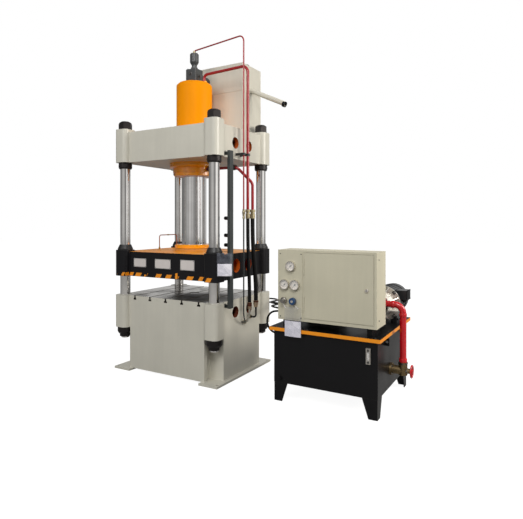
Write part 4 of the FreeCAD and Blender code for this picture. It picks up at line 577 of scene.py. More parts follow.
# The split ring that ties the rod's foot is painted a paler gold below its groove, a painted
# reflection of the slide's top, and its groove is a dark line of painted shade.
ring_yellow = copied(flange_yellow, "ring_yellow_enamel")
tree, shader, made, place = open_finish(ring_yellow)
rise = split(tree, place)["Z"]
tint = mix_colours(tree, scaled(tree, rise, 1.2030, 1.2050, 1.0, 0.0), made["Color"],
                   linear((206, 142, 62)))
groove_shade = calc(tree, "COMPARE", rise, 1.2045, 0.0022)
set_sockets(tree, shader, Base_Color=mix_colours(tree, groove_shade, tint, linear((96, 56, 20))))
dress(ring_yellow, "rod_ring")
screw_steel = metal_finish("screw_steel", (96, 94, 92), (200, 200, 200), 0.2, 0.38)
cylinder_top = 2.888
head_screws = bmesh.new()
for x in (-0.140, 0.140):
    add_cap_screw(head_screws, (x, 0.0, cylinder_top), UP, 0.014, 0.016)
finish_piece("cylinder_screws", head_screws, flange_yellow)

# ---------------------------------------------------------------------------------------
# Prefill valve and the pilot cylinder on it: grey castings, one above the other, held on
# the cylinder's head by long cap screws.
# ---------------------------------------------------------------------------------------


def add_hex_bolt(mesh, foot, way, flats, height, washer=True):
    """A hexagon head with chamfered corners, on a washer."""
    base = 0.0
    if washer:
        base = flats * 0.09
        add_turned(mesh, foot, way, [(0, 0), (flats * 0.98, 0), (flats * 0.98, base * 0.8),
                                     (flats * 0.93, base), (0, base)], 20)
    corner = flats / math.sqrt(3)
    add_turned(mesh, foot, way, [(0, base), (corner, base), (corner, base + height * 0.84),
                                 (corner * 0.86, base + height), (0, base + height)], 6)


def round_places(middle, way, radius, count, offset=0.0):
    """Places evenly round a circle that faces along x, y or z; offset is in steps."""
    first, second = {"x": (1, 2), "y": (0, 2), "z": (0, 1)}[way]
    for step in range(count):
        angle = math.tau * (step + offset) / count
        place = list(middle)
        place[first] += radius * math.cos(angle)
        place[second] += radius * math.sin(angle)
        yield place


valve_grey = enamel_finish("valve_grey_enamel", (58, 60, 60), roughness=0.42,
                           worn_colour=(110, 106, 98))
dress(valve_grey, "prefill_valve", "pilot_cylinder")
valve_top, pilot_top = 3.034, 3.2045
valve_screws = bmesh.new()
for right, back in CORNERS:
    add_cap_screw(valve_screws, (0.047 * right, 0.047 * back, valve_top), UP, 0.008, 0.009)
    add_cap_screw(valve_screws, (0.0635 * right, 0.032 * back, 2.905), (right, 0, 0),
                  0.006, 0.005)
add_hex_bolt(valve_screws, (0.063, 0.0, 2.965), RIGHT, 0.024, 0.010)
add_hex_bolt(valve_screws, (0.0, -0.063, 2.985), FRONT, 0.020, 0.009)
for place in round_places((0, 0, pilot_top), "z", 0.035, 6):
    add_cap_screw(valve_screws, place, UP, 0.0045, 0.004)
finish_piece("valve_screws", valve_screws, screw_steel)

# ---------------------------------------------------------------------------------------
# Top oil tank: folded sheet in two shells, seam-welded at mid height, with a filler cap
# on its lid and an overflow tube that slopes away to the right.
# ---------------------------------------------------------------------------------------
tank_grey = enamel_finish("tank_grey_enamel", (206, 201, 186), wear=0.25, patchiness=0.05)
dress(tank_grey, "top_oil_tank", "overflow_tube")
tank_x, tank_y = (-0.190, 0.455), (0.208, 0.575)
tank_foot, tank_seam, tank_lid = 2.3745, 2.820, 3.105
tank_corners = [(tank_x[0], tank_y[0]), (tank_x[1], tank_y[0]), (tank_x[1], tank_y[1]),
                (tank_x[0], tank_y[1])]
tank_seams = bmesh.new()
for here, after in zip(tank_corners, tank_corners[1:] + tank_corners[:1]):
    add_weld(tank_seams, (*here, tank_seam), (*after, tank_seam), 0.0032, 0.006)
    add_weld(tank_seams, (*here, tank_foot), (*after, tank_foot), 0.0045)
for x in tank_x:
    for y in tank_y:
        add_weld(tank_seams, (x, y, tank_foot + 0.0015), (x, y, tank_lid - 0.001), 0.0026,
                 0.006)
# The bead round the overflow tube's root is an ellipse, because the tube slopes.
overflow_y, bead_steps = 0.377, 40
ring = [(tank_x[1] + 0.0015, overflow_y + 0.0265 * math.cos(math.tau * step / bead_steps),
         2.842 + 0.029 * math.sin(math.tau * step / bead_steps))
        for step in range(bead_steps + 1)]
add_tube(tank_seams, ring, 0.0035, 8, lambda step: 1.0 if step % 2 else 0.85)
finish_piece("top_tank_welds", tank_seams, tank_grey, angle=60)
slope = Vector((0.400, 0, -0.187)).normalized()
shadow_black = enamel_finish("soot_black", (16, 16, 17), coat=0, wear=0, specular=0.2)
tube_end = bmesh.new()
add_turned(tube_end, Vector((0.866, overflow_y, 2.654)) - slope * 0.034, slope,
           [(0.0245, 0), (0.0285, 0.0005), (0.0290, 0.002), (0.0290, 0.028),
            (0.0278, 0.030), (0.0215, 0.030), (0.0215, 0.010)], 36)
finish_piece("overflow_end_ring", tube_end, shadow_black)
filler_x, filler_y = 0.330, 0.470
filler = bmesh.new()
add_turned(filler, (filler_x, filler_y, tank_lid), UP,
           [(0, 0), (0.044, 0), (0.044, 0.005), (0.031, 0.006), (0.031, 0.030),
            (0.040, 0.032), (0.040, 0.056), (0.034, 0.063), (0, 0.065)], 36)
for place in round_places((filler_x, filler_y, tank_lid + 0.0045), "z", 0.0375, 6):
    add_cap_screw(filler, place, UP, 0.0034, 0.003)
finish_piece("top_filler_cap", filler, shadow_black)

# ---------------------------------------------------------------------------------------
# Pipes: seamless steel tube, bent cold and painted dark red. The thin pilot line changes
# at a zinc-plated joint to a dark covered line lower down.
# ---------------------------------------------------------------------------------------
pipe_red = enamel_finish("pipe_red_enamel", (158, 20, 28), roughness=0.27, coat=0.3,
                         worn_colour=(60, 16, 16))
dress(pipe_red, "pressure_pipe", "return_pipe")
zinc_plate = metal_finish("yellow_zinc", (166, 154, 124), (80, 80, 260), 0.2, 0.38)
dress(zinc_plate, "hose_couplings")
port_steel = metal_finish("port_pipe_steel", (206, 202, 192), (60, 60, 160), 0.15, 0.34)
dress(port_steel, "port_pipes")
bare_fitting = metal_finish("bare_fitting", (196, 172, 146), (60, 60, 200), 0.2, 0.34)
dress_faces("hose_couplings", bare_fitting, lambda spot, way: spot.z < 0.8)
pilot_red = copied(pipe_red, "pilot_line_finish")
dress(pilot_red, "pilot_pipe")
tree, shader, made, place = open_finish(pilot_red)
pilot_joint = 1.5250
lower = calc(tree, "LESS_THAN", split(tree, place)["Z"], pilot_joint)
set_sockets(tree, shader,
            Base_Color=mix_colours(tree, lower, made["Color"], linear((52, 54, 54))))

# ---------------------------------------------------------------------------------------
# Hydraulic hoses: black wire-braided rubber with the wrapped cloth's fine weave, crimped
# into their end fittings. Two hang down the press's right side, two thin ones cross to
# the power unit and one loops back into its tank.
# ---------------------------------------------------------------------------------------
side_x = 0.670
side_hose_top, side_hose_end = 1.504, 0.700


def side_route(y, sway):
    """A hose that hangs straight from its upper fitting and drifts back lower down."""
    drop = side_hose_top - side_hose_end
    return [(side_x, y + sway * drift, side_hose_top - drop * fall) for drift, fall in
            ((0, 0), (0, 0.16), (0.2, 0.4), (0.7, 0.64), (1, 0.86), (1, 1))]


supply_route = [
    (0.420, 0.445, 0.640), (0.420, 0.520, 0.640), (0.475, 0.575, 0.642),
    (0.560, 0.577, 0.646), (0.650, 0.540, 0.654), (0.725, 0.470, 0.662),
    (0.765, 0.380, 0.670), (0.780, 0.277, 0.678), (0.802, 0.169, 0.688),
    (0.860, 0.085, 0.698), (0.943, 0.040, 0.702), (1.040, 0.005, 0.7005),
    (1.130, -0.041, 0.6985), (1.226, -0.095, 0.6925), (1.330, -0.095, 0.6925)]
drain_route = [
    (0.444, 0.445, 0.600), (0.444, 0.520, 0.600), (0.499, 0.574, 0.602),
    (0.580, 0.572, 0.608), (0.667, 0.533, 0.616), (0.742, 0.463, 0.624),
    (0.778, 0.369, 0.632), (0.790, 0.269, 0.640), (0.812, 0.169, 0.650),
    (0.872, 0.095, 0.658), (0.955, 0.057, 0.660), (1.045, 0.027, 0.6585),
    (1.135, -0.001, 0.6525), (1.226, -0.019, 0.6445), (1.330, -0.019, 0.6445)]
loop_end = (1.178, -0.058, 0.452)
# The loop's bend is a half turn in steps of 30 degrees, whose points lie outside it.
loop_reach = 0.101 / math.cos(math.radians(15))
loop_route = [(1.330, -0.060, 0.662), (1.210, -0.060, 0.662), (1.080, -0.057, 0.660)]
loop_route += [(0.996 + loop_reach * math.cos(math.radians(angle)), -0.060,
                0.553 + loop_reach * math.sin(math.radians(angle)))
               for angle in range(105, 256, 30)]
loop_route += [(1.068, -0.058, 0.452), loop_end]


def spline_length(curve):
    line = curve.copy()
    line.bevel_depth = 0
    probe = bpy.data.objects.new("probe", line)
    scene.collection.objects.link(probe)
    mesh = bpy.data.meshes.new_from_object(probe)
    points = [vertex.co for vertex in mesh.vertices]
    bpy.data.objects.remove(probe)
    return sum((b - a).length for a, b in zip(points, points[1:]))


def lay_cord(name, route, radius, body, stiffness, lay):
    """A cord on one smooth curve, from the route's first point on the object to its last."""
    curve = bpy.data.curves.new(name + "_line", "CURVE")
    curve.dimensions = "3D"
    spline = curve.splines.new("NURBS")
    spline.points.add(len(route) - 1)
    for point, place in zip(spline.points, route):
        point.co = (*place, 1)
        point.radius = radius
    spline.order_u = 3
    spline.use_endpoint_u = True
    spline.resolution_u = 10
    # Each point's radius holds the cord's half thickness, and the bevel keeps it as it is.
    curve.bevel_depth = 1.0
    curve.bevel_resolution = 6
    curve.use_fill_caps = True
    cord = bpy.data.objects.new(name, curve)
    scene.collection.objects.link(cord)
    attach(cord, body)
    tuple(route[0])
    spline_length(curve)
    return cord


rubber = enamel_finish("hose_rubber", (13, 12, 12), roughness=0.5, coat=0.0, wear=0,
                       specular=0.2, peel_height=0.00025)
for hose_name, route, hose_radius, stiffness, lay in (
        ("pressure_hose", side_route(-0.038, 0.032), 0.017, "stiff", "hanging"),
        ("return_hose", side_route(0.050, 0.064), 0.020, "stiff", "hanging"),
        ("supply_hose", supply_route, 0.008, "medium", "loose"),
        ("drain_hose", drain_route, 0.008, "medium", "loose"),
        ("loop_hose", loop_route, 0.009, "medium", "loose")):
    hose = lay_cord(hose_name + "_rubber", route, hose_radius, "frame",
                    stiffness, lay)
    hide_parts(hose_name)
    hose.data.materials.append(rubber)

# ---------------------------------------------------------------------------------------
# Fittings on the pipes: unions, clamps and their screws, of steel, zinc plated or black.
# The hoses' end fittings are crimped on under bronzed cuffs.
# ---------------------------------------------------------------------------------------
fitting_black = enamel_finish("fitting_black", (24, 23, 23), roughness=0.42, coat=0.0,
                              worn_colour=(80, 76, 70))
dress(fitting_black, "pipe_clamps", "limit_switches")
dress_faces("port_pipes", fitting_black, lambda spot, way: spot.y > 0.06)


def add_union(mesh, middle, way, radius, length):
    """A pipe union: a hexagon nut between two collars."""
    way = Vector(way).normalized()
    start = Vector(middle) - way * length / 2
    for foot, height in ((0, 0.3), (0.72, 0.28)):
        add_turned(mesh, start + way * length * foot, way,
                   [(radius * 0.6, 0), (radius * 0.84, 0), (radius * 0.84, length * height),
                    (radius * 0.6, length * height)])
    add_turned(mesh, start + way * length * 0.3, way,
               [(radius * 0.5, 0), (radius * 0.93, 0), (radius, length * 0.04),
                (radius, length * 0.38), (radius * 0.93, length * 0.42),
                (radius * 0.5, length * 0.42)], 6)


pilot_y = -0.112
black_unions = bmesh.new()
add_union(black_unions, (0.522, -0.060, 1.998), RIGHT, 0.030, 0.054)
add_union(black_unions, (0.246, -0.060, 1.998), RIGHT, 0.027, 0.050)
finish_piece("pipe_unions", black_unions, fitting_black)
zinc_unions = bmesh.new()
add_union(zinc_unions, (side_x, pilot_y, 1.560), UP, 0.0145, 0.062)
add_union(zinc_unions, (side_x, pilot_y, 1.512), UP, 0.0120, 0.030)
add_union(zinc_unions, (0.0, 0.0, 3.222), UP, 0.0145, 0.026)
for y, z in ((0.012, 0.503), (0.114, 0.536)):
    add_union(zinc_unions, (0.601, y, z), RIGHT, 0.021, 0.030)
for x, z in ((0.420, 0.640), (0.444, 0.600)):
    add_union(zinc_unions, (x, 0.459, z), BACK, 0.0175, 0.028)
    add_turned(zinc_unions, (x, 0.472, z), BACK,
               [(0.0082, 0), (0.0125, 0), (0.0125, 0.030), (0.0110, 0.034),
                (0.0082, 0.034)])
finish_piece("zinc_unions", zinc_unions, zinc_plate)
copper_cuff = metal_finish("bronzed_cuff", (96, 56, 44), (120, 120, 200), 0.15, 0.4, 0.7)
cuffs = bmesh.new()
for y, radius, low, high in ((-0.006, 0.0212, 0.662, 0.698), (0.114, 0.0250, 0.684, 0.698)):
    length = high - low
    add_turned(cuffs, (side_x, y, low), UP,
               [(radius * 0.98, 0), (radius + 0.0014, 0.001),
                (radius + 0.0014, length - 0.001), (radius * 0.98, length)], 32)
    for share in (0.25, 0.5, 0.75):
        add_turned(cuffs, (side_x, y, low + length * share - 0.001), UP,
                   [(radius, 0), (radius + 0.0024, 0.0006), (radius + 0.0024, 0.0016),
                    (radius, 0.0022)], 32)
finish_piece("crimped_cuffs", cuffs, copper_cuff)
clamp_screws = bmesh.new()
for y in (pilot_y, -0.038):
    add_hex_bolt(clamp_screws, (0.640, y + 0.009, 2.123), UP, 0.010, 0.005)
finish_piece("clamp_screws", clamp_screws, screw_steel)

# ---------------------------------------------------------------------------------------
# Switch bar: an upright square tube that carries three inductive switches on brackets.
# Each switch ends in a black boot at its left.
# ---------------------------------------------------------------------------------------


def add_box(mesh, low, high, bevel=0.0, segments=2):
    """A block in a growing mesh, with its edges rounded."""
    made = bmesh.ops.create_cube(mesh, size=1.0)["verts"]
    for vert in made:
        vert.co = Vector([low[i] + (high[i] - low[i]) * (vert.co[i] + 0.5)
                          for i in range(3)])
    if bevel:
        edges = {edge for vert in made for edge in vert.link_edges}
        bmesh.ops.bevel(mesh, geom=list(edges), offset=bevel, segments=segments,
                        profile=0.5, affect="EDGES")


bar_grey = enamel_finish("bar_grey_enamel", (50, 54, 53), roughness=0.36, coat=0.1,
                         worn_colour=(110, 108, 100))
dress(bar_grey, "limit_switch_bar")
bar_parts = bmesh.new()
for low, high in ((0.6895, 0.6935), (2.114, 2.118)):
    add_box(bar_parts, (0.6455, -0.3495, low), (0.6745, -0.2985, high), 0.0012)
for z in (0.705, 2.103):
    for y in (-0.339, -0.309):
        add_hex_bolt(bar_parts, (0.595, y, z + 0.0145), UP, 0.010, 0.005)
finish_piece("switch_bar_ends", bar_parts, fitting_black)
boots = bmesh.new()
for z in (1.262, 1.350, 1.506):
    add_turned(boots, (0.6445, -0.322, z), LEFT,
               [(0.0118, 0), (0.0125, 0.001), (0.0125, 0.011), (0.0118, 0.012),
                (0.0118, 0.014), (0.0165, 0.0145), (0.0165, 0.043), (0.0155, 0.0455),
                (0.012, 0.0465), (0, 0.0465)], 32)
finish_piece("switch_boots", boots, shadow_black)

# ---------------------------------------------------------------------------------------
# Slide: a welded box, charcoal on its sides, orange primer enamel on top and inside. The
# columns run in bronze-lined bushes under black wiper caps.
# ---------------------------------------------------------------------------------------
slide_low, slide_top = 0.935, 1.175
slide_bead = slide_top + 0.001
slide_charcoal = enamel_finish("slide_charcoal_enamel", (22, 21, 23), roughness=0.36,
                               coat=0.0, specular=0.18, worn_colour=(80, 74, 70))
dress(slide_charcoal, "slide_block")
top_orange = enamel_finish("top_orange_enamel", (240, 150, 22), (150, 104, 52),
                           patchiness=0.12, roughness=0.45, coat=0.06, specular=0.2)
tree, shader, made, place = open_finish(top_orange)
glare = noise(tree, place, 5.5, 5.0, Roughness=0.6, Distortion=0.8)
tint = mix_colours(tree, scaled(tree, glare, 0.52, 0.66, 0.0, 0.5), made["Color"],
                   linear((246, 214, 150)))
tint = mix_colours(tree, scaled(tree, glare, 0.34, 0.44, 0.3, 0.0), tint,
                   linear((150, 92, 30)))
set_sockets(tree, shader, Base_Color=tint)
dress_faces("slide_block", top_orange, lambda spot, way:
            way.z > 0.9 and abs(spot.z - slide_top) < 0.0005)
bright_primer = enamel_finish("orange_primer", (214, 96, 18), (120, 60, 20),
                              patchiness=0.15, roughness=0.5, coat=0)
dress_faces("slide_block", bright_primer, lambda spot, way:
            abs(spot.x) < wall_x and abs(spot.y) < inner_y and 0.987 < spot.z < 1.1455
            and (abs(spot.x) < 0.584 or abs(way.x) < 0.9))
wiper_black = enamel_finish("wiper_black", (20, 19, 19), roughness=0.4, coat=0.0, wear=0.2)
dress(wiper_black, "guide_bushes")
bush_bronze = metal_finish("bush_bronze", (176, 142, 84), (60, 60, 300), 0.1, 0.3)
dress_faces("guide_bushes", bush_bronze, lambda spot, way:
            spot.z < 1.188 and abs(way.z) < 0.5 or way.z < -0.9)
slide_screws = bmesh.new()
for right, back in CORNERS:
    for place in round_places((column_x * right, column_y * back, 1.2025), "z", 0.068, 4,
                              0.5):
        add_cap_screw(slide_screws, place, UP, 0.0042, 0.004)
finish_piece("slide_screws", slide_screws, screw_steel, "slide")
slide_welds = bmesh.new()
add_corner_welds(slide_welds, *boss_beads(slide_low, slide_top - 0.001),
                 ((0.473, 0.444, slide_bead), (0.473, 0.345, slide_bead), 0.0035),
                 ((0.473, 0.343, slide_bead), (0.584, 0.343, slide_bead), 0.0035))
finish_piece("slide_welds", slide_welds, slide_charcoal, "slide", 60)

# ---------------------------------------------------------------------------------------
# Blank plates on the slide's front: thin aluminium with a white face, riveted at the
# corners.
# ---------------------------------------------------------------------------------------
plate_silver = metal_finish("plate_silver", (196, 192, 188), (4, 300, 300), 0.05, 0.42,
                            0.55)
plate_white = enamel_finish("plate_white_enamel", (214, 206, 200), (150, 120, 110),
                            roughness=0.4, coat=0.1)
plate_rim, rivet_inset = 0.006, 0.009
plates, plate_faces, rivets = bmesh.new(), bmesh.new(), bmesh.new()
for left, right, low, high in ((-0.408, -0.245, 1.028, 1.112),
                               (-0.132, 0.064, 1.024, 1.114),
                               (0.181, 0.346, 1.022, 1.118)):
    add_box(plates, (left, -0.4462, low), (right, -0.4449, high), 0.0005, 1)
    add_box(plate_faces, (left + plate_rim, -0.44665, low + plate_rim),
            (right - plate_rim, -0.4461, high - plate_rim), 0.0002, 1)
    for x in (left + rivet_inset, right - rivet_inset):
        for z in (low + rivet_inset, high - rivet_inset):
            add_turned(rivets, (x, -0.4460, z), FRONT,
                       [(0.0036, 0), (0.0032, 0.0012), (0.0018, 0.0020), (0, 0.0022)], 14)
finish_piece("slide_plates", plates, plate_silver, "slide")
finish_piece("plate_rivets", rivets, screw_steel, "slide")
finish_piece("plate_faces", plate_faces, plate_white, "slide")

# ---------------------------------------------------------------------------------------
# Hazard tape along the slide's lower front edge: slanted orange bars stuck on the black
# enamel, scuffed, torn away in places, one of them turned round a guide's side.
# ---------------------------------------------------------------------------------------
tape_orange = enamel_finish("tape_orange", (246, 150, 20), (70, 48, 24), patchiness=0.06,
                            wear=0.8, edge=0.004, roughness=0.42, coat=0.1)
tree, shader, made, place = open_finish(tape_orange)
scuffs = scaled(tree, noise(tree, place, 46.0, 6.0, Roughness=0.7), 0.60, 0.66, 0.0, 0.85)
set_sockets(tree, shader,
            Base_Color=mix_colours(tree, scuffs, made["Color"], linear((40, 34, 30))))


def add_tape(mesh, left, right, low, high, face, lean=0.62, ragged=0.0015):
    """One slanted bar of tape, with slightly uneven edges."""
    steps = 7
    shift = (high - low) * lean
    left_edge, right_edge = [], []
    for step in range(steps + 1):
        part = step / steps
        height = low + (high - low) * part
        wave = ragged * math.sin(left * 900 + step * 2.3)
        left_edge.append((left + shift * part + wave, height))
        wave = ragged * math.sin(right * 700 + step * 3.1)
        right_edge.append((right - shift * (1 - part) + wave, height))
    outline = left_edge + right_edge[::-1]
    front = [mesh.verts.new((x, face - 0.0007, z)) for x, z in outline]
    back = [mesh.verts.new((x, face + 0.0003, z)) for x, z in outline]
    mesh.faces.new(front)
    for step in range(len(outline)):
        after = (step + 1) % len(outline)
        mesh.faces.new((front[step], back[step], back[after], front[after]))


wall_face, guide_face = -0.445, -0.498
tape = bmesh.new()
for left, right, low, high, face in (
        (-0.5855, -0.5655, 0.938, 0.970, guide_face),
        (-0.531, -0.4730, 0.936, 0.971, guide_face),
        (-0.4715, -0.4050, 0.936, 0.971, wall_face),
        (-0.394, -0.300, 0.935, 0.970, wall_face),
        (-0.131, -0.043, 0.935, 0.971, wall_face), (-0.005, 0.081, 0.935, 0.971, wall_face),
        (0.248, 0.341, 0.935, 0.970, wall_face), (0.387, 0.455, 0.936, 0.973, wall_face),
        (0.505, 0.582, 0.936, 0.974, guide_face)):
    add_tape(tape, left, right, low, high, face)
# Torn scraps between the bars.
for left, right, low, high, lean, ragged in (
        (-0.274, -0.246, 0.935, 0.956, 0.3, 0.003),
        (-0.240, -0.221, 0.942, 0.970, 0.5, 0.003),
        (0.117, 0.150, 0.935, 0.990, 0.1, 0.004), (0.150, 0.165, 0.938, 0.962, 0.2, 0.003)):
    add_tape(tape, left, right, low, high, wall_face, lean, ragged)
add_box(tape, (-0.4723, -0.4975, 0.9365), (-0.4713, -0.4455, 0.9705), 0.0003, 1)
finish_piece("hazard_tape", tape, tape_orange, "slide")

# ---------------------------------------------------------------------------------------
# Grease line to the rear left bush: a bent copper tube that stands on the slide's top,
# held by brass joints.
# ---------------------------------------------------------------------------------------
dress(metal_finish("copper_tube", (186, 104, 70), (200, 200, 200), 0.15, 0.3),
      "grease_line")
brass = metal_finish("brass_fitting", (190, 154, 84), (200, 200, 200), 0.1, 0.3)
grease_joints = bmesh.new()
for y in (0.030, 0.318):
    add_union(grease_joints, (-0.500, y, 1.187), UP, 0.0098, 0.024)
add_union(grease_joints, (-0.500, 0.172, 1.327), BACK, 0.0085, 0.022)
finish_piece("grease_joints", grease_joints, brass, "slide")

# ---------------------------------------------------------------------------------------
# A clear sleeve with a folded white card, hung by two knotted strings from the slide's
# front right guide.
# ---------------------------------------------------------------------------------------
card_white = enamel_finish("card_white", (244, 240, 246), (190, 190, 196), patchiness=0.02,
                           wear=0, roughness=0.6, coat=0, peel_height=0.00002)
sleeve_film = bpy.data.materials.new("sleeve_film")
sleeve_film.use_nodes = True
tree = sleeve_film.node_tree
folds = noise(tree, object_place(tree), 22.0, 3.0)
set_sockets(tree, tree.nodes["Principled BSDF"], Roughness=0.14, Specular_IOR_Level=0.6,
            Alpha=scaled(tree, folds, 0.3, 0.7, 0.06, 0.16),
            Base_Color=mix_colours(tree, folds, linear((130, 134, 152)),
                                   linear((176, 180, 194))))


def hung_sheet(name, start, end, low, high, finish, body, bow=0.004, thick=0.0006):
    """An upright sheet between two plan points, bowed and slightly wavy."""
    mesh = bmesh.new()
    start, end = Vector((*start, 0)), Vector((*end, 0))
    along = end - start
    out = Vector((along.y, -along.x, 0)).normalized()
    columns, rows = 14, 10
    sides = []
    for offset in (0, thick):
        grid = []
        for row in range(rows + 1):
            height = low + (high - low) * row / rows
            grid.append([mesh.verts.new(
                start + along * (column / columns)
                + out * (bow * math.sin(math.pi * column / columns)
                         + bow * 0.15 * math.sin(5 * column / columns + 4 * row / rows)
                         + offset)
                + Vector((0, 0, height))) for column in range(columns + 1)])
        sides.append(grid)
        for row in range(rows):
            for column in range(columns):
                mesh.faces.new((grid[row][column], grid[row][column + 1],
                                grid[row + 1][column + 1], grid[row + 1][column]))
    first, second = sides
    rim = ([(0, column) for column in range(columns)]
           + [(row, columns) for row in range(rows)]
           + [(rows, column) for column in range(columns, 0, -1)]
           + [(row, 0) for row in range(rows, 0, -1)])
    for here, after in zip(rim, rim[1:] + rim[:1]):
        mesh.faces.new((first[here[0]][here[1]], first[after[0]][after[1]],
                        second[after[0]][after[1]], second[here[0]][here[1]]))
    return finish_piece(name, mesh, finish, body, 60)


def tie_string(name, route, radius, body, finish):
    """A string that hangs a sleeve, from the object to a tight overhand knot."""
    knot = bmesh.new()
    turns = [math.tau * step / 24 for step in range(25)]
    add_tube(knot, [Vector(route[-1]) + radius * Vector((
        math.sin(turn) + 2 * math.sin(2 * turn), math.cos(turn) - 2 * math.cos(2 * turn),
        -math.sin(3 * turn))) for turn in turns], radius, 8)
    knot = finish_piece(name + "_knot", knot, finish, body, 60)
    string = lay_cord(name, route, radius, body, "limp", "hanging")
    string.data.materials.append(finish)


hung_sheet("slide_sleeve", (0.634, -0.497), (0.752, -0.4300), 0.996, 1.200, sleeve_film,
           "slide")
hung_sheet("slide_card", (0.638, -0.4942), (0.748, -0.4322), 0.998, 1.104, card_white,
           "slide", thick=0.0004)
guide_cap = (0.6177, -0.391, 1.2085)
for side, route in (
        ("left", [guide_cap, (0.6237, -0.420, 1.2085), (0.6176, -0.4512, 1.2085),
                  (0.640, -0.472, 1.208), (0.655, -0.480, 1.204),
                  (0.6635, -0.4815, 1.196)]),
        ("right", [guide_cap, (0.6245, -0.400, 1.2085), (0.655, -0.410, 1.2085),
                   (0.690, -0.424, 1.208), (0.720, -0.434, 1.203),
                   (0.735, -0.4400, 1.196)])):
    tie_string("slide_sleeve_cord_" + side, route, 0.0015, "slide", shadow_black)

# ---------------------------------------------------------------------------------------
# Power unit: a black oil tank folded from sheet, on four legs, under a screwed cover with
# a painted orange rim. Lifting lugs are welded to its right side.
# ---------------------------------------------------------------------------------------


def disc(radius, height):
    """The outline of a plain disc or peg."""
    return [(0, 0), (radius, 0), (radius, height), (0, height)]


unit_black = enamel_finish("unit_black_enamel", (12, 11, 13), roughness=0.34, coat=0.0,
                           specular=0.22, worn_colour=(84, 80, 76), patchiness=0.08)
dress(unit_black, "oil_tank", "tank_legs", "pump")
cover_black = enamel_finish("cover_black_enamel", (11, 11, 12), roughness=0.42, coat=0.0,
                            specular=0.15, patchiness=0.1)
dress(cover_black, "tank_cover")
rim_orange = enamel_finish("rim_orange_enamel", (244, 148, 14), roughness=0.42, coat=0.05,
                           worn_colour=(110, 64, 20))
dress_faces("tank_cover", rim_orange, lambda spot, way:
            abs(way.z) < 0.3 and (spot.x < 1.1485 or spot.x > 2.0725
                                  or spot.y < -0.4745 or spot.y > 0.4845))
unit_left, unit_right, unit_front, unit_back = 1.178, 2.043, -0.445, 0.455
unit_welds = bmesh.new()
for x in (unit_left, unit_right):
    for y in (unit_front, unit_back):
        add_weld(unit_welds, (x, y, 0.154), (x, y, 0.580), 0.0024, 0.006)
for lug_y in (-0.244, 0.290):
    for y in (lug_y - 0.0058, lug_y + 0.0058):
        add_weld(unit_welds, (unit_right + 0.0005, y, 0.517),
                 (unit_right + 0.0005, y, 0.573), 0.0034)
finish_piece("unit_welds", unit_welds, unit_black, angle=60)
cover_top = 0.610
cover_screws = bmesh.new()
for x, y in ([(x, y) for x in (1.20, 1.48, 1.76, 2.03) for y in (-0.460, 0.470)]
             + [(x, y) for y in (-0.20, 0.16) for x in (1.163, 2.058)]):
    add_hex_bolt(cover_screws, (x, y, cover_top), UP, 0.010, 0.006)
finish_piece("cover_screws", cover_screws, screw_steel)
plug_x, plug_z, plug_flange = 1.230, 0.185, 0.006
drain_plug = bmesh.new()
add_turned(drain_plug, (plug_x, unit_front, plug_z), FRONT, disc(0.020, plug_flange), 28)
add_hex_bolt(drain_plug, (plug_x, unit_front - plug_flange, plug_z), FRONT, 0.024, 0.010,
             False)
finish_piece("drain_plug", drain_plug, unit_black)

# ---------------------------------------------------------------------------------------
# Filler and breather: a chromed cap on a black neck, which stands on the tank's cover
# behind the cabinet.
# ---------------------------------------------------------------------------------------
cap_chrome = metal_finish("cap_chrome", (206, 206, 204), (200, 200, 200), 0.04, 0.2)
breather_x, breather_y, neck_height = 1.300, 0.280, 0.030
neck = bmesh.new()
add_turned(neck, (breather_x, breather_y, cover_top), UP,
           [(0, 0), (0.042, 0), (0.042, 0.004), (0.027, 0.005), (0.027, neck_height),
            (0, neck_height)], 36)
finish_piece("breather_neck", neck, cover_black)
breather = bmesh.new()
add_turned(breather, (breather_x, breather_y, cover_top + neck_height), UP,
           [(0, 0), (0.037, 0), (0.040, 0.003), (0.040, 0.031), (0.034, 0.040),
            (0.012, 0.043), (0, 0.043)], 40)
finish_piece("breather_cap", breather, cap_chrome)

# ---------------------------------------------------------------------------------------
# Level gauge: an alloy frame with a clear window over a white scale, held by two hollow
# screws.
# ---------------------------------------------------------------------------------------
gauge_alloy = metal_finish("gauge_alloy", (170, 164, 156), (200, 200, 200), 0.06, 0.4, 0.6)
dress(gauge_alloy, "level_gauge")
level_x, level_left, level_right = 1.976, 1.9672, 1.9848
scale = bmesh.new()
add_box(scale, (level_left, -0.4582, 0.444), (level_right, -0.4572, 0.502), 0.0002, 1)
finish_piece("level_scale", scale, plate_white)
scale_marks = bmesh.new()
for step in range(11):
    height = 0.448 + 0.005 * step
    width = 0.0050 if step % 5 == 0 else 0.0028
    add_box(scale_marks, (level_x - width, -0.4586, height),
            (level_x + width, -0.4582, height + 0.0006))
finish_piece("level_marks", scale_marks, shadow_black)
clear_glass = bpy.data.materials.new("clear_glass")
clear_glass.use_nodes = True
tree = clear_glass.node_tree
set_sockets(tree, tree.nodes["Principled BSDF"], Base_Color=(0.92, 0.95, 0.95, 1),
            Roughness=0.04, Alpha=0.14)
window = bmesh.new()
add_box(window, (level_left, -0.4634, 0.4432), (level_right, -0.4622, 0.5028), 0.0005)
finish_piece("level_window", window, clear_glass)
level_screws = bmesh.new()
for z in (0.4285, 0.5175):
    add_turned(level_screws, (level_x, -0.463, z), FRONT, disc(0.0085, 0.0015))
    add_hex_bolt(level_screws, (level_x, -0.4645, z), FRONT, 0.012, 0.005, False)
finish_piece("level_screws", level_screws, screw_steel)

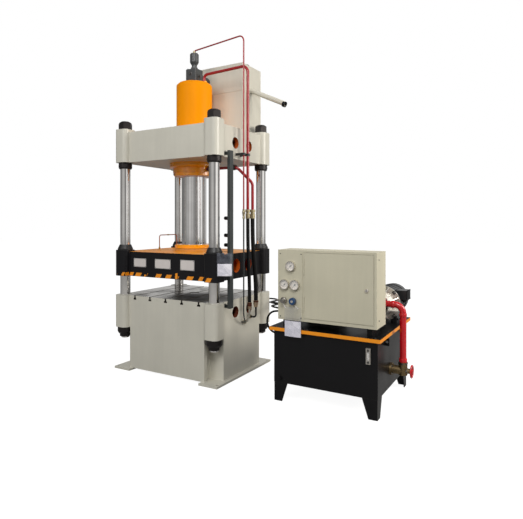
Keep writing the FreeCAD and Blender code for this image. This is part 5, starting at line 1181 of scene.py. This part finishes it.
# ---------------------------------------------------------------------------------------
# Motor, bell housing and pump: a finned grey motor drives a black pump through a cast
# alloy bell, ribbed and bolted at both ends.
# ---------------------------------------------------------------------------------------
motor_x, motor_z = 1.920, 0.777
bell_alloy = metal_finish("cast_alloy", (218, 214, 206), (90, 90, 90), 0.12, 0.42,
                          height=0.00008)
dress(bell_alloy, "bell_housing")
motor_grey = enamel_finish("motor_grey_enamel", (34, 35, 36), roughness=0.34,
                           patchiness=0.08, worn_colour=(96, 94, 90))
dress(motor_grey, "motor_housing")
# The fan cover's air holes are painted nearly black on its closed face, painted shade for the
# dark behind them: rings broken by spokes, inside its edge.
grille = enamel_finish("fan_cover_enamel", (34, 35, 36), coat=0.1)
dress(grille, "fan_cover")
tree, shader, made, place = open_finish(grille)
spot = split(tree, place)
side = calc(tree, "SUBTRACT", spot["X"], motor_x)
rise = calc(tree, "SUBTRACT", spot["Z"], motor_z)
far = place_node(tree, "VectorMath", "LENGTH", i0=place_node(
    tree, "CombineXYZ", X=side, Y=rise, Z=0.0).outputs[0]).outputs["Value"]
rings = calc(tree, "LESS_THAN", calc(tree, "PINGPONG", far, 0.0048), 0.0026)
spokes = calc(tree, "PINGPONG", calc(tree, "ARCTAN2", rise, side), math.pi / 8)
holes = calc(tree, "MULTIPLY", rings, calc(tree, "GREATER_THAN", spokes, 0.05))
holes = calc(tree, "MULTIPLY", holes, calc(tree, "LESS_THAN", far, 0.106))
set_sockets(tree, shader, Base_Color=mix_colours(tree, holes, made["Color"],
                                                 (0.002, 0.002, 0.002, 1)))


def add_fin(mesh, angle, first, last, thick):
    """A fin out from the motor's axis; each end is its depth and its two radii."""
    out = Vector((math.cos(angle), 0, math.sin(angle)))
    across = Vector((-math.sin(angle), 0, math.cos(angle)))
    corners = [mesh.verts.new(Vector((motor_x, depth, motor_z)) + out * reach
                              + across * side * thick / 2)
               for depth, *reaches in (first, last) for reach in reaches
               for side in (-1, 1)]
    for loop in ((0, 1, 3, 2), (4, 6, 7, 5), (0, 4, 5, 1), (2, 3, 7, 6), (0, 2, 6, 4),
                 (1, 5, 7, 3)):
        mesh.faces.new([corners[index] for index in loop])


fins = bmesh.new()
for step in range(40):
    turned = 360 * step / 40
    # There are none over the feet, and beside the terminal box only their ends are free.
    if 215 < turned < 325:
        spans = ()
    elif turned < 52:
        spans = ((0.162, 0.226), (0.354, 0.418))
    else:
        spans = ((0.162, 0.418),)
    for start, end in spans:
        add_fin(fins, math.radians(turned), (start, 0.126, 0.1345), (end, 0.126, 0.1345),
                0.0032)
for depth in (0.140, 0.424):
    add_turned(fins, (motor_x, depth, motor_z), BACK,
               [(0.127, 0), (0.1335, 0.001), (0.1335, 0.015), (0.127, 0.016)], 64)
finish_piece("motor_fins", fins, motor_grey)
bell_ribs = bmesh.new()
for step in range(8):
    add_fin(bell_ribs, math.tau * (step + 0.5) / 8, (0.004, 0.080, 0.090),
            (0.124, 0.100, 0.146), 0.008)
finish_piece("bell_ribs", bell_ribs, bell_alloy)
bell_bolts = bmesh.new()
for place in round_places((motor_x, 0.1238, motor_z), "y", 0.136, 8):
    add_hex_bolt(bell_bolts, place, FRONT, 0.017, 0.010)
for place in round_places((motor_x, -0.026, motor_z), "y", 0.070, 4, 0.5):
    add_hex_bolt(bell_bolts, place, FRONT, 0.014, 0.008)
finish_piece("bell_bolts", bell_bolts, screw_steel)
# The terminal box's cover with its screws and glands, and the bolts of the feet.
motor_fittings = bmesh.new()
add_box(motor_fittings, (2.0985, 0.226, 0.797), (2.1025, 0.354, 0.885), 0.0015)
for y in (0.235, 0.345):
    for z in (0.806, 0.876):
        add_cap_screw(motor_fittings, (2.1025, y, z), RIGHT, 0.0036, 0.003)
for y in (0.262, 0.318):
    add_turned(motor_fittings, (2.066, y, 0.801), DOWN,
               [(0.013, 0), (0.015, 0.001), (0.015, 0.012), (0.012, 0.013), (0.012, 0.022),
                (0.007, 0.026), (0, 0.026)], 6)
for side in (-1, 1):
    for y in (0.195, 0.385):
        add_hex_bolt(motor_fittings, (motor_x + 0.108 * side, y, 0.640), (side, 0, 0),
                     0.013, 0.008)
finish_piece("motor_fittings", motor_fittings, cover_black)

# ---------------------------------------------------------------------------------------
# Suction line: a red pipe between collars and flanges, from a bronze gate valve with a
# red handwheel up to the pump.
# ---------------------------------------------------------------------------------------
bronze = metal_finish("cast_bronze", (126, 108, 78), (120, 120, 120), 0.3, 0.45,
                      height=0.0001)
dress(bronze, "suction_valve")
wheel_red = enamel_finish("suction_red_enamel", (196, 14, 26), roughness=0.28, coat=0.3,
                          worn_colour=(90, 16, 16))
dress(wheel_red, "suction_handwheel", "suction_pipe")
riser_x, suction_y = 2.143, -0.085
inlet_z, valve_z = 0.813, 0.295
suction_rings = bmesh.new()
for foot, way, radius, length in (((riser_x, suction_y, 0.361), UP, 0.0315, 0.030),
                                  ((riser_x, suction_y, 0.722), UP, 0.0295, 0.026),
                                  ((2.052, suction_y, inlet_z), RIGHT, 0.0295, 0.026),
                                  ((1.990, suction_y, inlet_z), RIGHT, 0.0440, 0.014)):
    add_turned(suction_rings, foot, way,
               [(0.024, 0), (radius * 0.94, 0), (radius, length * 0.15),
                (radius, length * 0.85), (radius * 0.94, length), (0.024, length)], 36)
finish_piece("suction_collars", suction_rings, wheel_red)
suction_bolts = bmesh.new()
for place in round_places((2.004, suction_y, inlet_z), "x", 0.035, 4, 0.5):
    add_hex_bolt(suction_bolts, place, RIGHT, 0.011, 0.006)
for place in round_places((2.061, suction_y, valve_z), "x", 0.041, 4, 0.5):
    add_hex_bolt(suction_bolts, place, RIGHT, 0.012, 0.007, False)
add_turned(suction_bolts, (riser_x, suction_y, 0.345), UP,
           [(0.034, 0), (0.0385, 0.002), (0.0385, 0.014), (0.034, 0.016)], 6)
add_turned(suction_bolts, (2.164, suction_y, valve_z), RIGHT,
           [(0.020, 0), (0.024, 0.001), (0.024, 0.012), (0.020, 0.013)], 6)
finish_piece("suction_bolts", suction_bolts, screw_steel)

# ---------------------------------------------------------------------------------------
# Valve manifold behind the cabinet: a ground steel block with plugs and screws, four
# solenoid valves with moulded coils and wired connectors on top.
# ---------------------------------------------------------------------------------------
# The block's steel is painted dark: painted shade, as it stands in the shadow under the
# cabinet.
shaded_ground_block = metal_finish("shaded_ground_block", (84, 80, 76), (300, 20, 20), 0.1, 0.42)
dress(shaded_ground_block, "valve_manifold")
coil_black = enamel_finish("coil_black", (22, 22, 23), roughness=0.5, coat=0.0)
dress(coil_black, "solenoid_valves")
valve_block = enamel_finish("valve_block_green", (52, 60, 58), roughness=0.4, coat=0.1)
dress_faces("solenoid_valves", valve_block, lambda spot, way: spot.y < -0.0105)
block_left, block_front, valve_pitch = 1.330, -0.130, 0.075
block_parts, connectors = bmesh.new(), bmesh.new()
for number in range(4):
    middle = block_left + valve_pitch * (number + 0.5)
    for x in (middle - 0.016, middle + 0.016):
        for y in (-0.102, -0.020):
            add_cap_screw(block_parts, (x, y, 0.770), UP, 0.0042, 0.0045)
    add_hex_bolt(block_parts, (middle, block_front, 0.690), FRONT, 0.022, 0.009, False)
    add_hex_bolt(block_parts, (middle + 0.012, block_front, 0.640), FRONT, 0.018, 0.008,
                 False)
    add_turned(block_parts, (middle, 0.054, 0.745), BACK,
               [(0, 0), (0.015, 0), (0.015, 0.005), (0.010, 0.007), (0, 0.007)])
    add_box(connectors, (middle - 0.014, 0.004, 0.768), (middle + 0.014, 0.034, 0.800),
            0.003)
    add_tube(connectors, [(middle + shift, y, z) for shift, y, z in (
        (0, 0.030, 0.786), (0, 0.046, 0.786), (0.004, 0.064, 0.778), (0.010, 0.074, 0.750),
        (0.014, 0.078, 0.700), (0.016, 0.080, 0.640), (0.018, 0.074, 0.6165),
        (0.03, 0.040, 0.6150), (0.05, 0.0135, 0.6150))], 0.0034)
for y, z in ((-0.095, 0.6925), (-0.019, 0.6445), (-0.060, 0.662)):
    add_union(block_parts, (1.318, y, z), RIGHT, 0.0175, 0.026)
add_union(block_parts, (1.645, suction_y, 0.665), RIGHT, 0.019, 0.030)
add_union(block_parts, (motor_x, suction_y, 0.866), UP, 0.019, 0.030)
finish_piece("manifold_plugs", block_parts, screw_steel)
finish_piece("valve_connectors", connectors, shadow_black)

# ---------------------------------------------------------------------------------------
# Loop hose end: a black steel coupling, crimped on the hose and screwed into the tank's
# left side.
# ---------------------------------------------------------------------------------------
loop_coupling = bmesh.new()
add_turned(loop_coupling, loop_end, LEFT,
           [(0.0092, 0), (0.021, 0), (0.021, 0.010), (0.0145, 0.012), (0.0145, 0.042),
            (0.0128, 0.046), (0.0092, 0.046)], 28)
finish_piece("loop_hose_coupling", loop_coupling, fitting_black)

# ---------------------------------------------------------------------------------------
# Control cabinet: folded sheet in beige textured enamel. On its left a panel carries
# three gauges, the pressure regulator's steel knob and a blue valve knob.
# ---------------------------------------------------------------------------------------
cabinet_beige = enamel_finish("cabinet_enamel", (197, 191, 168), roughness=0.5, coat=0.0,
                              wear=0.12, peel_height=0.00012, specular=0.35)
dress(cabinet_beige, "cabinet_shell", "cabinet_door", "panel_plate")
dress_faces("cabinet_shell", cover_black, lambda spot, way: spot.z < 0.6745)
gauge_steel = metal_finish("gauge_steel", (222, 216, 208), (200, 200, 200), 0.04, 0.26)
dress(gauge_steel, "gauge_cases", "door_lock")
knob_steel = metal_finish("knob_steel", (150, 146, 140), (200, 200, 200), 0.1, 0.26)
dress(knob_steel, "regulator_knob")
needle_black = enamel_finish("needle_black", (12, 12, 12), wear=0, coat=0)
dress(needle_black, "gauge_needle_top", "gauge_needle_left", "gauge_needle_right")
knob_blue = enamel_finish("knob_blue", (18, 62, 104), roughness=0.35, coat=0.3, wear=0)
dress(knob_blue, "gauge_valve_knob")
panel_screws = bmesh.new()
for x in (1.239, 1.425):
    for z in (0.702, 1.213):
        add_turned(panel_screws, (x, -0.453, z), FRONT,
                   [(0, 0), (0.0050, 0), (0.0046, 0.0018), (0.0026, 0.0030),
                    (0.0026, 0.0012), (0, 0.0012)], 20)
for z in (0.732, 1.188):
    add_turned(panel_screws, (2.040, -0.396, z), RIGHT,
               [(0, 0), (0.0062, 0), (0.0056, 0.0022), (0.003, 0.0036), (0.003, 0.0014),
                (0, 0.0014)], 20)
finish_piece("cabinet_screws", panel_screws, screw_steel)
# The lock's keyway is a thin black plate on its face: painted shade for the dark inside the
# slot.
lock_slot = bmesh.new()
add_box(lock_slot, (1.9638, -0.46725, 0.9555), (1.9662, -0.46695, 0.9645), 0.0001, 1)
finish_piece("lock_keyway", lock_slot, shadow_black, "lock")
valve_knob_x, valve_knob_z = 1.358, 0.833
knob_ribs = bmesh.new()
for place in round_places((valve_knob_x, -0.4645, valve_knob_z), "y", 0.0262, 12):
    add_turned(knob_ribs, place, FRONT,
               [(0, 0), (0.0034, 0.001), (0.0034, 0.0195), (0, 0.0205)], 12)
finish_piece("valve_knob_ribs", knob_ribs, knob_blue, "gauge_valve")
knob_cap = bmesh.new()
add_turned(knob_cap, (valve_knob_x, -0.4909, valve_knob_z), FRONT,
           [(0, 0), (0.011, 0), (0.010, 0.0012), (0, 0.0014)], 28)
finish_piece("valve_knob_cap", knob_cap, gauge_steel, "gauge_valve")
knob_knurl = bmesh.new()
for place in round_places((1.277, -0.4615, 0.836), "y", 0.0238, 36):
    add_turned(knob_knurl, place, FRONT,
               [(0, 0), (0.0011, 0.0006), (0.0011, 0.0205), (0, 0.0212)], 6)
finish_piece("regulator_knurl", knob_knurl, knob_steel, "regulator")

# ---------------------------------------------------------------------------------------
# Gauge dials: white printed discs with a scale from 0 to 25, a red band and a clear
# glass held by the chromed case.
# ---------------------------------------------------------------------------------------
dial_white = enamel_finish("dial_white", (238, 228, 216), patchiness=0.02, wear=0,
                           roughness=0.5, coat=0)
dial_print = enamel_finish("dial_print", (92, 40, 34), patchiness=0, wear=0, coat=0)
dial_red = enamel_finish("dial_red", (176, 34, 26), patchiness=0, wear=0, coat=0)
marks_face = -0.4619


def add_numeral(mesh, text, x, z, height):
    """A printed number, turned to face the front."""
    letters = bpy.data.curves.new("numeral", "FONT")
    letters.body = text
    letters.size = height
    letters.align_x = "CENTER"
    letters.align_y = "CENTER"
    letters.resolution_u = 2
    probe = bpy.data.objects.new("numeral", letters)
    scene.collection.objects.link(probe)
    flat = bpy.data.meshes.new_from_object(probe)
    bpy.data.objects.remove(probe)
    flat.transform(Matrix.Translation((x, marks_face, z))
                   @ Matrix.Rotation(math.pi / 2, 4, "X"))
    mesh.from_mesh(flat)
    bpy.data.meshes.remove(flat)


def dial_angle(share):
    """The angle from +X, seen from the front, at a share of the scale's 270 degrees."""
    return math.radians(225 - 270 * share)


for dial_name, x, z in (("top", 1.336, 1.116), ("left", 1.281, 0.965),
                        ("right", 1.374, 0.965)):
    disc_plate = bmesh.new()
    add_turned(disc_plate, (x, -0.4611, z), FRONT,
               [(0.0032, 0), (0.0357, 0), (0.0357, 0.0006), (0.0032, 0.0006)], 64)
    finish_piece(f"dial_{dial_name}", disc_plate, dial_white)
    marks = bmesh.new()
    for step in range(51):
        angle = dial_angle(step / 50)
        inner = 0.0262 if step % 10 == 0 else 0.0284 if step % 5 == 0 else 0.0300
        thick = 0.0011 if step % 10 == 0 else 0.0006
        out = Vector((math.cos(angle), 0, math.sin(angle)))
        across = Vector((-math.sin(angle), 0, math.cos(angle))) * thick / 2
        middle = Vector((x, marks_face, z))
        mark = [middle + out * inner - across, middle + out * inner + across,
                middle + out * 0.0322 + across, middle + out * 0.0322 - across]
        marks.faces.new([marks.verts.new(corner) for corner in mark])
    for step in range(6):
        angle = dial_angle(step / 5)
        add_numeral(marks, str(step * 5), x + 0.0212 * math.cos(angle),
                    z + 0.0212 * math.sin(angle), 0.0078)
    finish_piece(f"dial_marks_{dial_name}", marks, dial_print, angle=60)
    arc = bmesh.new()
    edges = []
    for step in range(13):
        angle = dial_angle(0.72 + 0.28 * step / 12)
        edges.append([arc.verts.new((x + far * math.cos(angle), -0.4618,
                                     z + far * math.sin(angle)))
                      for far in (0.0326, 0.0344)])
    for first, second in zip(edges, edges[1:]):
        arc.faces.new((first[0], first[1], second[1], second[0]))
    finish_piece(f"dial_band_{dial_name}", arc, dial_red, angle=60)
    pane = bmesh.new()
    add_turned(pane, (x, -0.4752, z), FRONT, disc(0.0359, 0.0016), 64)
    finish_piece(f"gauge_glass_{dial_name}", pane, clear_glass)
    hub = bmesh.new()
    add_turned(hub, (x, -0.4690, z), FRONT,
               [(0, 0), (0.0042, 0.0002), (0.0040, 0.0016), (0, 0.0022)])
    finish_piece(f"needle_hub_{dial_name}", hub, needle_black,
                 f"needle_{dial_name}")

# ---------------------------------------------------------------------------------------
# A second clear sleeve with a white card, made like the slide's. It hangs by two knotted
# strings from the panel's two knobs.
# ---------------------------------------------------------------------------------------
hung_sheet("panel_sleeve", (1.289, -0.4815), (1.440, -0.4815), 0.548, 0.789, sleeve_film,
           "frame", bow=0.003)
hung_sheet("panel_card", (1.293, -0.4808), (1.436, -0.4808), 0.551, 0.676, card_white,
           "frame", bow=0.003, thick=0.0004)
for side, route in (
        ("left", [(1.277, -0.4922, 0.8165), (1.2805, -0.4905, 0.815),
                  (1.289, -0.4880, 0.800), (1.300, -0.4855, 0.783)]),
        ("right", [(1.360, -0.4595, 0.8065), (1.372, -0.4640, 0.802),
                   (1.392, -0.4790, 0.794), (1.410, -0.4850, 0.783)])):
    tie_string("panel_sleeve_cord_" + side, route, 0.0012, "frame", card_white)

# ---------------------------------------------------------------------------------------
# Switchgear behind the door: contactors, breakers and relays in grey mouldings, with
# dark fronts, terminal screws and short runs of wire.
# ---------------------------------------------------------------------------------------
electrics_grey = enamel_finish("electrics_grey", (164, 166, 166), wear=0.1)
dress(electrics_grey, "electrics")
terminal_pitch = 0.014
gear_fronts, gear_screws, wires = bmesh.new(), bmesh.new(), bmesh.new()
places = []
for low, face, widths in ((1.076, -0.292, (0.09, 0.09, 0.06, 0.06)),
                          (0.916, -0.302, (0.07, 0.07, 0.07, 0.11)),
                          (0.773, -0.272, (0.06,) * 5)):
    left = 1.521
    row = []
    for width in widths:
        add_box(gear_fronts, (left + 0.008, face - 0.006, low + 0.026),
                (left + width - 0.008, face + 0.001, low + 0.059), 0.0015)
        count = int((width - 0.010) / terminal_pitch)
        for number in range(count):
            x = left + width / 2 + (number - (count - 1) / 2) * terminal_pitch
            for z in (low + 0.012, low + 0.073):
                add_cap_screw(gear_screws, (x, face, z), FRONT, 0.0036, 0.002)
        row.append((left + width / 2, low, face))
        left += width + 0.014
    places.append(row)
sag = Vector((0, -0.010, 0))
bend = Vector((0, 0, 0.008))
for first, second in zip(places, places[1:]):
    for (x, low, face), (other_x, other_low, other_face) in zip(first, second):
        for shift in (-0.012, 0.0, 0.012):
            top_end = Vector((x + shift, face - 0.002, low + 0.010))
            low_end = Vector((other_x + shift, other_face - 0.002, other_low + 0.075))
            add_tube(wires, [top_end, top_end + sag - bend,
                             top_end.lerp(low_end, 0.5) + sag, low_end + sag + bend,
                             low_end], 0.0016, 8)
finish_piece("switchgear_fronts", gear_fronts, coil_black)
finish_piece("terminal_screws", gear_screws, brass)
finish_piece("switchgear_wires", wires, dial_red)

# ---------------------------------------------------------------------------------------
# Sizes for comparison
# ---------------------------------------------------------------------------------------
low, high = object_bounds()
{"cad": [list(cad_low), list(cad_high)], "visual": [list(low), list(high)]}
